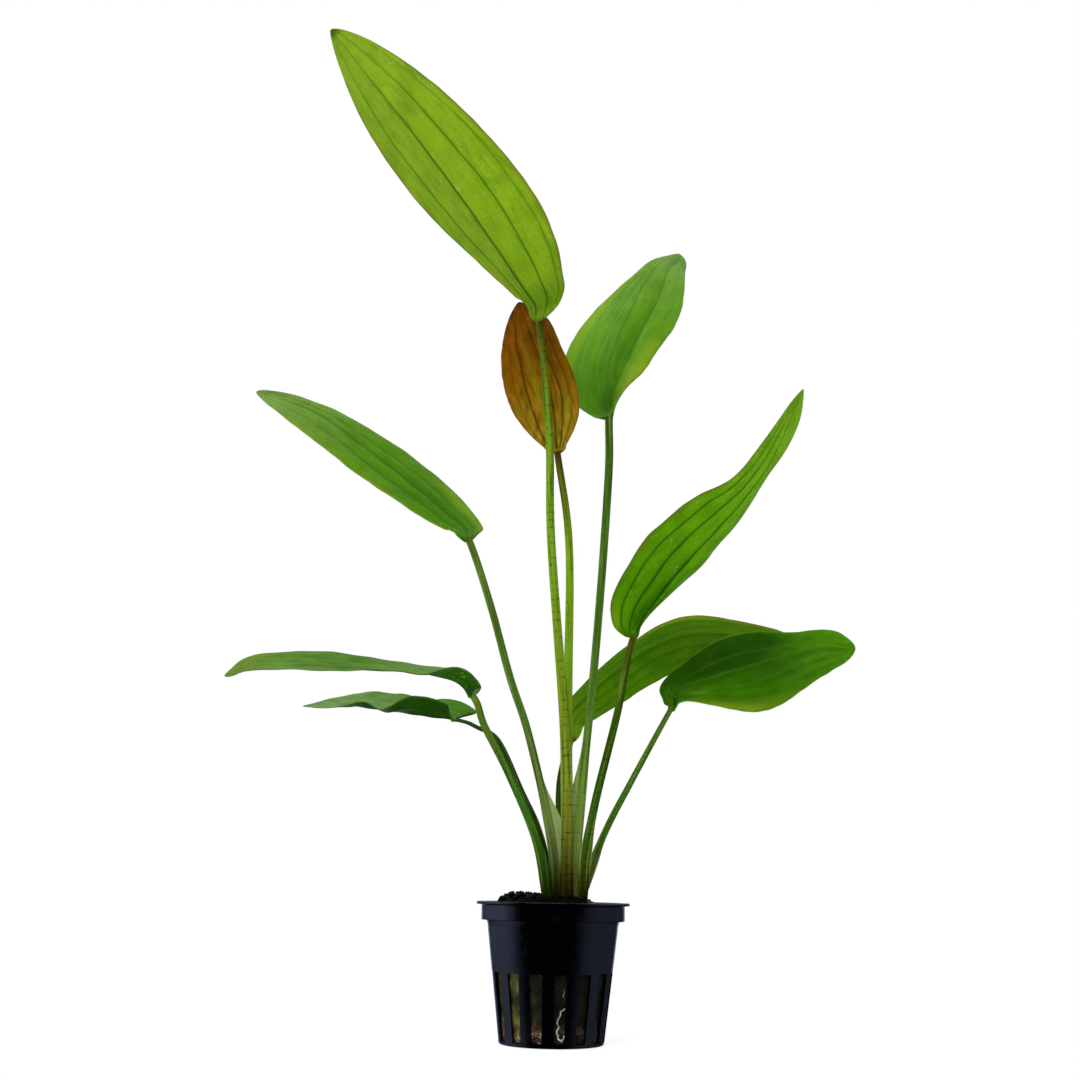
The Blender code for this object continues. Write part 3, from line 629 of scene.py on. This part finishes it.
def piece(name, bm, finish, slot, *nodes):
    """Makes a bmesh in metres a smooth piece that rides on the body and stands for CAD nodes."""
    mesh = bpy.data.meshes.new(name)
    bm.to_mesh(mesh)
    bm.free()
    mesh.shade_smooth()
    mesh.materials.append(finish)
    obj = bpy.data.objects.new(name, mesh)
    bpy.context.scene.collection.objects.link(obj)
    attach(obj, BODY)
    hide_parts(*nodes)
    return obj


def smooth_path(points):
    """Many small steps along a smooth curve that passes through the points."""
    ends = np.array([2 * points[0] - points[1], *points, 2 * points[-1] - points[-2]])
    s = np.linspace(0, 1, PATH_STEPS, endpoint=False)[:, None]
    stretches = []
    for a, b, c, d in zip(ends, ends[1:], ends[2:], ends[3:]):
        bends = (2 * a - 5 * b + 4 * c - d) * s**2 + (3 * b - a - 3 * c + d) * s**3
        stretches.append((2 * b + (c - a) * s + bends) / 2)
    return np.vstack([*stretches, points[-1:]])


def smooth_step(value):
    value = np.clip(value, 0, 1)
    return value * value * (3 - 2 * value)


def profile(values, along):
    """A value that changes smoothly along the blade, read from its values at even steps."""
    curve = smooth_path(np.array(values, float)[:, None])[:, 0]
    return np.interp(along, np.linspace(0, 1, len(curve)), curve)


def unit(rows):
    return rows / np.linalg.norm(rows, axis=1, keepdims=True)


def spine(leaf, along_stalk, along_blade):
    """Places, sideways and upper-face directions, and lengths in millimetres, ring by ring."""
    way = smooth_path(np.array(leaf.stalk + leaf.midrib, float))
    steps = np.linalg.norm(np.diff(way, axis=0), axis=1)
    length = np.concatenate([[0], np.cumsum(steps)])
    start = length[(len(leaf.stalk) - 1) * PATH_STEPS]
    blade = length[-1] - start

    def at(where):
        return np.stack([np.interp(where, length, way[:, k]) for k in range(3)], axis=1)

    where = start * along_stalk + blade * along_blade
    seen = np.where(along_stalk >= 1, np.maximum(where, start + FRAME_START * blade), where)
    tangent = unit(at(np.minimum(seen + TANGENT_REACH, length[-1])) - at(np.maximum(seen - TANGENT_REACH, 0)))
    front = unit(np.array([0, -1, 0]) + tangent[:, 1:2] * tangent)
    right = np.cross(tangent, front)
    foot_turn = 180 if 90 < leaf.turn[0] < 270 else 0
    turn = profile(leaf.turn, along_blade)
    turn = np.radians(foot_turn + (turn - foot_turn) * smooth_step(along_stalk * 2 - 1))[:, None]
    face = np.cos(turn) * front + np.sin(turn) * right
    side = np.cos(turn) * right - np.sin(turn) * front
    return at(where), side, face, where


def blade_reach(leaf, along):
    """Half the blade's width, for a share of its length."""
    widest = leaf.base_fullness / (leaf.base_fullness + leaf.tip_fullness)
    rise = (along / widest) ** leaf.base_fullness
    return leaf.half_width * rise * ((1 - along) / (1 - widest)) ** leaf.tip_fullness


def vein_columns(leaf):
    """Shares of the width for the columns of one face, crowded where veins and margins are."""
    fine = np.linspace(-1, 1, 4001)
    crowd = np.full(len(fine), 1.0)
    for vein in [vein for vein, strength in leaf.veins] + [-1.0, 1.0]:
        crowd += 6 * np.exp(-(((fine - vein) / VEIN_CROWD) ** 2))
    total = np.concatenate([[0], np.cumsum((crowd[1:] + crowd[:-1]) / 2)])
    return np.interp(np.linspace(0, total[-1], HALF_COLUMNS + 1), total, fine)


def leaf_piece(name, leaf, skin):
    """A closed tube of rings: round along the stalk, and flat with ribs, bulges and waves above."""
    bm = bmesh.new()
    rings, columns = STALK_RINGS + BLADE_RINGS, 2 * HALF_COLUMNS
    bmesh.ops.create_grid(bm, x_segments=columns, y_segments=rings, size=0.5)
    mesh = bpy.data.meshes.new("grid")
    bm.to_mesh(mesh)
    flat_places = np.empty(len(mesh.vertices) * 3, np.float32)
    mesh.vertices.foreach_get("co", flat_places)
    column = np.rint((flat_places[0::3] + 0.5) * columns).astype(int)
    ring = np.rint((flat_places[1::3] + 0.5) * rings).astype(int)

    steps = np.arange(rings + 1)
    along_stalk = np.minimum(steps / STALK_RINGS, 1.0)
    along_blade = (1 - np.cos(np.pi * np.maximum(steps - STALK_RINGS, 0) / BLADE_RINGS)) / 2
    place, side, face, where = spine(leaf, along_stalk, along_blade)
    s, t = along_stalk[ring], along_blade[ring]

    bearing = math.tau * column / columns
    above = np.sin(bearing) >= 0
    step_across = np.where(column <= HALF_COLUMNS, column, columns - column)
    flat = smooth_step(t / BASE_BLEND)
    v = np.cos(bearing) * (1 - flat) + vein_columns(leaf)[::-1][step_across] * flat
    on_right = v > 0

    def sides(left, right):
        return np.where(on_right, right, left)

    stalk = np.interp(s, (0, 1), leaf.radii) * (1 - MIDRIB_TAPER * t)
    width = blade_reach(leaf, along_blade)[ring]
    sheath = sides(*leaf.sheath) * (0.45 + 0.55 * smooth_step(s / SHEATH_PEAK))
    sheath = sheath * (1 - smooth_step((s - SHEATH_PEAK) / (SHEATH_END - SHEATH_PEAK)))
    half = stalk + sheath + width * sides(profile(leaf.left, t), profile(leaf.right, t))
    notches = np.sin(57 * t + 3 * on_right) + np.sin(91 * t + 5 * on_right)
    half += MARGIN_WANDER * notches * width / leaf.half_width
    reach = half * v

    fold = sides(profile(leaf.fold, t), profile(leaf.fold_right or leaf.fold, t))
    fold = np.radians(fold) * flat
    bend = np.radians(profile(leaf.curl, t)) * flat / leaf.half_width + 1e-6
    out = np.abs(reach)
    lean = fold + bend * out
    across = np.copysign((np.sin(lean) - np.sin(fold)) / bend, reach)
    lift = (np.cos(fold) - np.cos(lean)) / bend

    size, waves, left_start, right_start = leaf.ripple
    open_width = width / leaf.half_width
    lift += size * v**2 * open_width * np.sin(math.tau * (waves * t + sides(left_start, right_start)))
    lift += PUCKER * open_width * np.sin(31 * t + 4 * v) * np.sin(5 * v + 13 * t)

    nearest = np.full(len(v), 1.0)
    vein = np.zeros(len(v))
    for vein_at, strength in leaf.veins:
        wander = VEIN_WANDER * np.sin(17 * t + 5 * vein_at) * np.sign(abs(vein_at))
        distance = np.abs(v - vein_at - wander)
        nearest = np.minimum(nearest, distance)
        thick = 0.34 if vein_at else 0.55 * (1 - 0.5 * t)
        vein = np.maximum(vein, strength * np.exp(-((distance * np.maximum(half, 0.5) / thick) ** 2)))
    vein *= flat * (1 - 0.65 * smooth_step((t - 0.55) / 0.4))
    lift += leaf.plait * flat * open_width * (1 - np.exp(-((nearest / PLAIT_REACH) ** 2)))
    # Patches partly of the leaf's own darker and yellower colour, partly painted shade and painted light on folds
    # turned from or towards the light
    tone = np.zeros(len(v))
    for across_at, along_at, across_reach, along_reach, strength in leaf.tones_and_shade:
        off_centre = ((v - across_at) / across_reach) ** 2 + ((t - along_at) / along_reach) ** 2
        tone += strength * np.exp(-off_centre)

    round_off = np.sqrt(np.maximum(1 - np.abs(v) ** (2 + 26 * flat), 0))
    rib = stalk * np.exp(-((np.maximum(out - stalk, 0) / (MIDRIB_SPREAD * stalk)) ** 2))
    upper_thick = np.maximum(rib * (1 - flat), BLADE_THICKNESS / 2) * round_off - VEIN_RELIEF * vein
    lower_thick = np.maximum(rib * (1 - 0.55 * flat), BLADE_THICKNESS / 2) + VEIN_RELIEF * vein
    height = lift + np.where(above, upper_thick, -lower_thick * round_off)

    spots = place[ring] + across[:, None] * side[ring] + height[:, None] * face[ring]
    back = sides(*leaf.lobes) * v**2 * smooth_step(t / LOBE_START) * (1 - smooth_step(t / LOBE_END))
    forward = np.cross(face, side)
    spots -= back[:, None] * forward[ring]
    mesh.vertices.foreach_set("co", (spots * MM).astype(np.float32).ravel())
    values = {
        "along": (s + t) / 2,
        "upper": np.clip(np.sin(bearing) * 4 + 0.5, 0, 1),
        "vein": vein,
        "edge": np.abs(v) * flat,
        "tone": tone * flat,
        "wing": smooth_step((out - stalk) / 0.5) * (s < 1),
        "stalk_part": 1 - smooth_step(t / 0.02),
    }
    for key, numbers in values.items():
        mesh.attributes.new(key, "FLOAT", "POINT").data.foreach_set("value", numbers.astype(np.float32))
    corners = np.empty(len(mesh.loops), np.int32)
    mesh.loops.foreach_get("vertex_index", corners)
    spread = np.stack([reach, where[ring]], axis=1).astype(np.float32)
    mesh.uv_layers.new(name="grain").data.foreach_set("uv", spread[corners].ravel())

    bm.clear()
    bm.from_mesh(mesh)
    bpy.data.meshes.remove(mesh)
    bmesh.ops.remove_doubles(bm, verts=bm.verts, dist=MERGE)
    bmesh.ops.holes_fill(bm, edges=bm.edges, sides=0)
    bmesh.ops.recalc_face_normals(bm, faces=bm.faces)
    slot = "young_leaf" if name == "leaf_young" else "green_leaf"
    piece(name + "_piece", bm, leaf_finish(name, skin), slot, name)


def body_radius(height):
    """The outside radius of the pot's wall below the band."""
    if height <= FLARE_FOOT:
        return np.interp(height, (0, FLARE_FOOT), (FOOT_DIAMETER / 2, FLARE_TOP_DIAMETER / 2))
    share = (height - FLARE_FOOT) / FLARE_HEIGHT
    return FLARE_TOP_DIAMETER / 2 + (BODY_TOP_DIAMETER - FLARE_TOP_DIAMETER) / 2 * share**2


def pot_profile():
    """From the middle of the foot, up the outside, over the rim and down the inside."""
    foot, rim, band = FOOT_DIAMETER / 2, RIM_DIAMETER / 2, BAND_DIAMETER / 2
    rim_foot, e = POT_HEIGHT - RIM_THICKNESS, EDGE_ROUNDING
    flare = [FLARE_FOOT + FLARE_HEIGHT * k / 6 for k in range(7)]
    corner = [(foot - FOOT_ROUNDING * (1 - math.sin(a)), FOOT_ROUNDING * (1 - math.cos(a)))
              for a in np.radians((0, 30, 60))]
    outside = [(0, 0)] + corner + [(body_radius(h), h) for h in [FOOT_ROUNDING, SLOT_TOP] + flare]
    outside += [(band - e, STEP_HEIGHT), (band, STEP_HEIGHT + e), (band, rim_foot - 0.3), (band + 0.3, rim_foot)]
    outside += [(rim - e, rim_foot), (rim, rim_foot + e), (rim, POT_HEIGHT - e), (rim - e, POT_HEIGHT)]
    inside = [(band - WALL + e, POT_HEIGHT), (band - WALL, POT_HEIGHT - e), (band - WALL, STEP_HEIGHT + WALL)]
    inside += [(body_radius(h) - WALL, h) for h in (STEP_HEIGHT, FLARE_FOOT, BASE_THICKNESS)]
    return outside + inside + [(0, BASE_THICKNESS)]


def wedge(bm, middle, low, high):
    """A block round the pot's axis. low and high are (height, inner, outer radius, degrees wide)."""
    rings = []
    for height, inner, outer, wide in (low, high):
        corners = []
        for radius, side in ((inner, -1), (outer, -1), (outer, 1), (inner, 1)):
            bearing = math.radians(middle + side * wide / 2)
            spot = (radius * math.sin(bearing), -radius * math.cos(bearing), height)
            corners.append(bm.verts.new([part * MM for part in spot]))
        rings.append(corners)
    bm.faces.new(rings[0])
    bm.faces.new(rings[1][::-1])
    for k in range(4):
        nearer, further = k, (k + 1) % 4
        bm.faces.new((rings[0][nearer], rings[1][nearer], rings[1][further], rings[0][further]))


def net_pot_piece():
    """The pot, turned from its profile, with its slots and drain openings cut and edges rounded."""
    cutter = bmesh.new()
    for k in range(SLOT_COUNT):
        slot = [
            (height, SLOT_INNER_RADIUS, RIM_DIAMETER / 2, wide)
            for height, wide in ((BASE_THICKNESS, SLOT_NARROW), (SLOT_TOP, SLOT_WIDE))
        ]
        wedge(cutter, FIRST_SLOT + 360 / SLOT_COUNT * k, *slot)
    for k in range(DRAIN_COUNT):
        drain = [
            (height, DRAIN_INNER_RADIUS, DRAIN_OUTER_RADIUS, DRAIN_WIDE)
            for height in (-BASE_THICKNESS, 2 * BASE_THICKNESS)
        ]
        wedge(cutter, 360 / DRAIN_COUNT * k, *drain)
    bmesh.ops.recalc_face_normals(cutter, faces=cutter.faces)
    cutter_mesh = bpy.data.meshes.new("openings")
    cutter.to_mesh(cutter_mesh)
    cutter.free()
    openings = bpy.data.objects.new("openings", cutter_mesh)
    bpy.context.scene.collection.objects.link(openings)

    bm = bmesh.new()
    corners = [bm.verts.new((radius * MM, 0.0, height * MM)) for radius, height in pot_profile()]
    edges = [bm.edges.new(pair) for pair in zip(corners, corners[1:])]
    bmesh.ops.spin(
        bm, geom=corners + edges, axis=(0, 0, 1), cent=(0, 0, 0), angle=math.tau,
        steps=POT_SIDES, use_merge=True,
    )
    bmesh.ops.remove_doubles(bm, verts=bm.verts, dist=MERGE)
    bmesh.ops.recalc_face_normals(bm, faces=bm.faces)
    pot = piece("net_pot_piece", bm, plastic_finish(), "pot_plastic", "net_pot")
    cut = pot.modifiers.new("openings", "BOOLEAN")
    cut.operation = "DIFFERENCE"
    cut.object = openings
    shape = bpy.data.meshes.new_from_object(pot.evaluated_get(bpy.context.evaluated_depsgraph_get()))
    pot.modifiers.clear()
    pot.data = shape
    bpy.data.objects.remove(openings)
    shape.set_sharp_from_angle(angle=math.radians(40))
    bevel = pot.modifiers.new("worn_edges", "BEVEL")
    bevel.width = 0.12 * MM
    bevel.segments = 2
    bevel.limit_method = "ANGLE"
    bevel.angle_limit = math.radians(50)
    bevel.harden_normals = True
    return pot


def wrapped_grid(columns, rows, outline):
    """A grid bent round the Z axis along an outline(share) of (radius, height), closed at its ends."""
    bm = bmesh.new()
    bmesh.ops.create_grid(bm, x_segments=columns, y_segments=rows, size=0.5)
    for vert in bm.verts:
        bearing = math.tau * (vert.co.x + 0.5)
        radius, height = outline(vert.co.y + 0.5)
        vert.co = (radius * math.cos(bearing), radius * math.sin(bearing), height)
    bmesh.ops.remove_doubles(bm, verts=bm.verts, dist=MERGE / MM)
    return bm


def wool_outline(share):
    """Radius and height along the wool's skin, from the middle of its foot to the middle of its top."""
    foot = body_radius(WOOL_FOOT) - WALL - GAP
    top = body_radius(STEP_HEIGHT) - WALL - GAP
    if share < 0.12:
        return foot * share / 0.12, WOOL_FOOT
    if share > 0.9:
        return top * (1 - share) / 0.1, WOOL_TOP
    height = WOOL_FOOT + (WOOL_TOP - WOOL_FOOT) * (share - 0.12) / 0.78
    return body_radius(min(height, STEP_HEIGHT)) - WALL - GAP, height


def wool_piece():
    """The wool's rough, felted skin."""
    bm = wrapped_grid(WOOL_COLUMNS, WOOL_ROWS, wool_outline)
    for vert in bm.verts:
        rough = noise.fractal(vert.co * 0.9, 1.0, 2.0, 4)
        inward = Vector((vert.co.x, vert.co.y, 0)).normalized()
        vert.co -= inward * (WOOL_ROUGHNESS * abs(rough))
        vert.co *= MM
    bmesh.ops.recalc_face_normals(bm, faces=bm.faces)
    piece("mineral_wool_piece", bm, wool_finish(), "mineral_wool", "mineral_wool")


def tube(strands, sides):
    """One mesh of thin tubes that taper: each strand is its way, in millimetres, and its radius."""
    curve = bpy.data.curves.new("strands", "CURVE")
    curve.dimensions = "3D"
    curve.bevel_depth = MM
    curve.bevel_resolution = sides
    curve.use_fill_caps = True
    for way, radius in strands:
        spline = curve.splines.new("POLY")
        spline.points.add(len(way) - 1)
        for k, (point, spot) in enumerate(zip(spline.points, way)):
            point.co = (*[part * MM for part in spot], 1.0)
            point.radius = radius * (1 - 0.6 * abs(2 * k / (len(way) - 1) - 1))
    obj = bpy.data.objects.new("strands", curve)
    bpy.context.scene.collection.objects.link(obj)
    mesh = bpy.data.meshes.new_from_object(obj.evaluated_get(bpy.context.evaluated_depsgraph_get()))
    bpy.data.objects.remove(obj)
    bm = bmesh.new()
    bm.from_mesh(mesh)
    bpy.data.meshes.remove(mesh)
    return bm


def fibres_piece():
    """Loose wool fibres and root hairs, lying on the wool where the slots show it."""
    draw = random.Random(7)
    ways = []
    for _ in range(FIBRE_COUNT):
        slot = FIRST_SLOT + 360 / SLOT_COUNT * draw.randrange(SLOT_COUNT)
        bearing = math.radians(slot + draw.uniform(-6, 6))
        height = WOOL_FOOT + FIBRE_HEIGHT * draw.random()
        heading = draw.uniform(0, math.tau)
        way = []
        for _ in range(7):
            radius = body_radius(height) - WALL - GAP + draw.uniform(-0.15, 0.3)
            way.append((radius * math.sin(bearing), -radius * math.cos(bearing), height))
            heading += draw.uniform(-0.7, 0.7)
            bearing += 0.5 * math.cos(heading) / radius
            height = min(max(height + 0.5 * math.sin(heading), WOOL_FOOT), SLOT_TOP)
        ways.append(way)
    bm = tube([(way, FIBRE_RADIUS) for way in ways], 0)
    piece("wool_fibres", bm, fibre_finish(), "mineral_wool")


def soil_height(x, y):
    heap = math.exp(-((math.hypot(x - SOIL_HEAP_X, 0.8 * y) / SOIL_HEAP_REACH) ** 6))
    collar = math.exp(-((math.hypot(x - SOIL_COLLAR_X, y) / SOIL_COLLAR_REACH) ** 6))
    return SOIL_LOW + max((SOIL_HIGH - SOIL_LOW) * heap, (SOIL_COLLAR - SOIL_LOW) * collar)


def soil_piece():
    """The soil's lumpy surface with loose crumbs on it."""
    bm = bmesh.new()
    bmesh.ops.create_uvsphere(bm, u_segments=200, v_segments=110, radius=1.0)
    for vert in bm.verts:
        x, y, up = vert.co
        if up > -0.001:
            spot = Vector((x * SOIL_RADIUS, y * SOIL_RADIUS, 0))
            lumps = noise.fractal(spot * 0.55, 1.0, 2.0, 5)
            spot.z = soil_height(spot.x, spot.y) + 0.7 * lumps
        else:
            spot = Vector((x * SOIL_NECK, y * SOIL_NECK, SOIL_FOOT))
        vert.co = spot
    draw = random.Random(3)
    for _ in range(CRUMB_COUNT):
        bearing, radius = draw.uniform(0, math.tau), (SOIL_RADIUS - 0.6) * math.sqrt(draw.random())
        size = CRUMB_SMALL + (CRUMB_LARGE - CRUMB_SMALL) * draw.random() ** 2.5
        x, y = radius * math.cos(bearing), radius * math.sin(bearing)
        seat = soil_height(x, y) + 0.7 * noise.fractal(Vector((x, y, 0)) * 0.55, 1.0, 2.0, 5)
        made = bmesh.ops.create_icosphere(bm, subdivisions=1, radius=size)["verts"]
        for vert in made:
            vert.co *= 1 + 0.45 * noise.noise(vert.co * 3 + Vector((x, y, 0)))
            vert.co += Vector((x, y, seat + 0.3 * size))
    bmesh.ops.scale(bm, vec=(MM, MM, MM), verts=bm.verts)
    bmesh.ops.recalc_face_normals(bm, faces=bm.faces)
    piece("soil_piece", bm, soil_finish(), "soil", "soil")


def rootstock_piece():
    """The short stem, ringed and rough."""
    bm = bmesh.new()
    bmesh.ops.create_uvsphere(bm, u_segments=96, v_segments=48, radius=1.0)
    for vert in bm.verts:
        x, y, up = vert.co
        rough = 1 + 0.05 * noise.fractal(vert.co * 4, 1.0, 2.0, 4)
        flat = math.copysign(abs(up) ** 0.5, up)
        vert.co = (
            (CROWN_CENTRE[0] + CROWN_RADII[0] * x * rough) * MM,
            (CROWN_CENTRE[1] + CROWN_RADII[1] * y * rough) * MM,
            (SOIL_FOOT + (CROWN_TOP - SOIL_FOOT) * (flat + 1) / 2) * MM,
        )
    piece("rootstock_piece", bm, rootstock_finish(), "rootstock", "rootstock")


def root_spot(aside, height, lift=0.0):
    """A place on the pot's wall in the first slot: aside is to the right of the slot's middle."""
    bearing = math.radians(FIRST_SLOT)
    radius = body_radius(height) - ROOT_RADIUS + lift
    x = radius * math.sin(bearing) + aside * math.cos(bearing)
    y = -radius * math.cos(bearing) + aside * math.sin(bearing)
    return x, y, height


def white_root_piece():
    """The root that runs down inside the slot."""
    way = smooth_path(np.array([root_spot(*step) for step in ROOT_WAY]))[::8]
    thread = smooth_path(np.array([root_spot(*step, -0.2) for step in ROOT_THREAD]))[::8]
    bm = tube([(way, ROOT_RADIUS), (thread, ROOT_RADIUS / 3)], 3)
    bmesh.ops.recalc_face_normals(bm, faces=bm.faces)
    piece("white_root_piece", bm, root_finish(), "white_root", "white_root")


def camera():
    place, aim = Vector(CAMERA_PLACE) * MM, Vector(CAMERA_AIM) * MM
    forward = (aim - place).normalized()
    level = forward.cross(Vector((0, 0, 1))).normalized()
    above = level.cross(forward)
    roll = math.radians(CAMERA_ROLL)
    right = math.cos(roll) * level + math.sin(roll) * above
    up = math.cos(roll) * above - math.sin(roll) * level
    data = bpy.data.cameras.new("camera")
    data.lens = CAMERA_LENS
    data.sensor_width = CAMERA_SENSOR
    data.clip_start = 0.01
    data.clip_end = 100.0
    obj = bpy.data.objects.new("camera", data)
    obj.matrix_world = Matrix.Translation(place) @ Matrix((right, up, -forward)).transposed().to_4x4()
    bpy.context.scene.collection.objects.link(obj)
    bpy.context.scene.camera = obj


def softbox(name, place, aim, size, power, colour=(1.0, 1.0, 1.0)):
    data = bpy.data.lights.new(name, "AREA")
    data.shape = "RECTANGLE"
    data.size, data.size_y = size
    data.energy = power
    data.color = colour
    obj = bpy.data.objects.new(name, data)
    obj.location = place
    obj.rotation_euler = (Vector(aim) - Vector(place)).to_track_quat("-Z", "Y").to_euler()
    obj.visible_camera = False
    obj.visible_glossy = False
    bpy.context.scene.collection.objects.link(obj)


def studio():
    """A white floor and surround, bright above and behind the plant and dark on the camera's side."""
    bm = bmesh.new()
    bmesh.ops.create_circle(bm, cap_ends=True, segments=128, radius=4.0)
    mesh = bpy.data.meshes.new("floor")
    bm.to_mesh(mesh)
    bm.free()
    floor = bpy.data.objects.new("floor", mesh)
    floor.location.z = -0.0002
    floor.visible_glossy = False
    bpy.context.scene.collection.objects.link(floor)
    f = Finish("pale_floor")
    f.feed(f.shader, {"Base Color": (0.9, 0.9, 0.9, 1.0), "Roughness": 0.9})
    white = f.add("Emission", {"Color": (1.0, 1.0, 1.0, 1.0), "Strength": 1.0})
    far = f.add("VectorMath", {0: f.coords()}, operation="LENGTH").outputs["Value"]
    plain = f.span(far, FLOOR_SHADE[0], FLOOR_SHADE[1], 0.8, 1.0)
    shown = f.calc("MULTIPLY", plain, f.add("LightPath").outputs["Is Camera Ray"])
    both = f.add("MixShader", {0: shown, 1: f.shader.outputs[0], 2: white.outputs[0]})
    f.tree.links.new(both.outputs[0], f.output.inputs["Surface"])
    mesh.materials.append(f.material)

    world = bpy.data.worlds.new("surround")
    world.use_nodes = True
    bpy.context.scene.world = world
    w = Nodes(world.node_tree)
    axes = w.add("SeparateXYZ", {0: w.add("TexCoord").outputs["Generated"]}).outputs
    x, y, z = axes["X"], axes["Y"], axes["Z"]
    ambient = w.calc("ADD", w.span(y, -0.4, 0.8, 0.1, 0.9), w.span(z, 0.2, 1.0, 0.0, 0.5))
    left_wall = w.calc("MULTIPLY", w.span(x, -0.45, -0.8, 0.0, 0.75), w.span(y, -0.6, -0.05))
    left_wall = w.calc("MULTIPLY", left_wall, w.span(y, 0.0, 0.6, 1.0, 0.45))
    left_wall = w.calc("MULTIPLY", left_wall, w.span(z, -0.15, -0.05, 1.0, 1.5))
    right_wall = w.calc("MULTIPLY", w.span(x, 0.45, 0.85, 0.0, 0.38), w.span(y, -0.8, -0.35))
    right_wall = w.calc("MULTIPLY", right_wall, w.span(y, -0.1, 0.5, 1.0, 0.5))
    walls = w.calc("MAXIMUM", left_wall, right_wall)
    behind = w.span(y, 0.85, 1.0)
    above = w.span(z, 0.12, 0.75, 0.0, 0.9)
    seen_in_gloss = w.calc("MAXIMUM", w.calc("MAXIMUM", behind, above), walls)
    rays = w.add("LightPath").outputs
    light = w.add("Background", {"Color": (0.93, 0.97, 1.0, 1.0), "Strength": ambient})
    tint = w.blend(w.span(z, 0.05, 0.3), (0.52, 0.64, 1.0, 1.0), (0.85, 0.93, 1.0, 1.0))
    gloss = w.add("Background", {"Color": tint, "Strength": seen_in_gloss})
    white = w.add("Background", {"Color": (1.0, 1.0, 1.0, 1.0), "Strength": 1.0})
    lit = w.add("MixShader", {0: rays["Is Glossy Ray"], 1: light.outputs[0], 2: gloss.outputs[0]})
    both = w.add("MixShader", {0: rays["Is Camera Ray"], 1: lit.outputs[0], 2: white.outputs[0]})
    w.tree.links.new(both.outputs[0], w.tree.nodes["World Output"].inputs["Surface"])

    middle = (0.0, 0.0, 0.17)
    softbox("top_light", (-0.35, -0.6, 1.2), middle, (0.9, 0.7), 22.0)
    softbox("back_light", (0.3, 0.9, 0.8), middle, (1.0, 0.8), 9.0)
    bpy.context.scene.view_settings.view_transform = "Standard"


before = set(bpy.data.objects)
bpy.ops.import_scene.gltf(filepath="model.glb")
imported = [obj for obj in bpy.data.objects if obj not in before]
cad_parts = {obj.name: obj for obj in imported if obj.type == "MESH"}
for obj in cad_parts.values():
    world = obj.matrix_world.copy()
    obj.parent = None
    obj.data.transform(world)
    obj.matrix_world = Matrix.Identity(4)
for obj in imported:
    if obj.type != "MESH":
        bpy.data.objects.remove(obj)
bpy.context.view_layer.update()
camera()
studio()
for leaf_name, leaf in LEAVES.items():
    leaf_piece(leaf_name, leaf, SKINS[leaf_name])
net_pot_piece()
wool_piece()
fibres_piece()
soil_piece()
rootstock_piece()
white_root_piece()
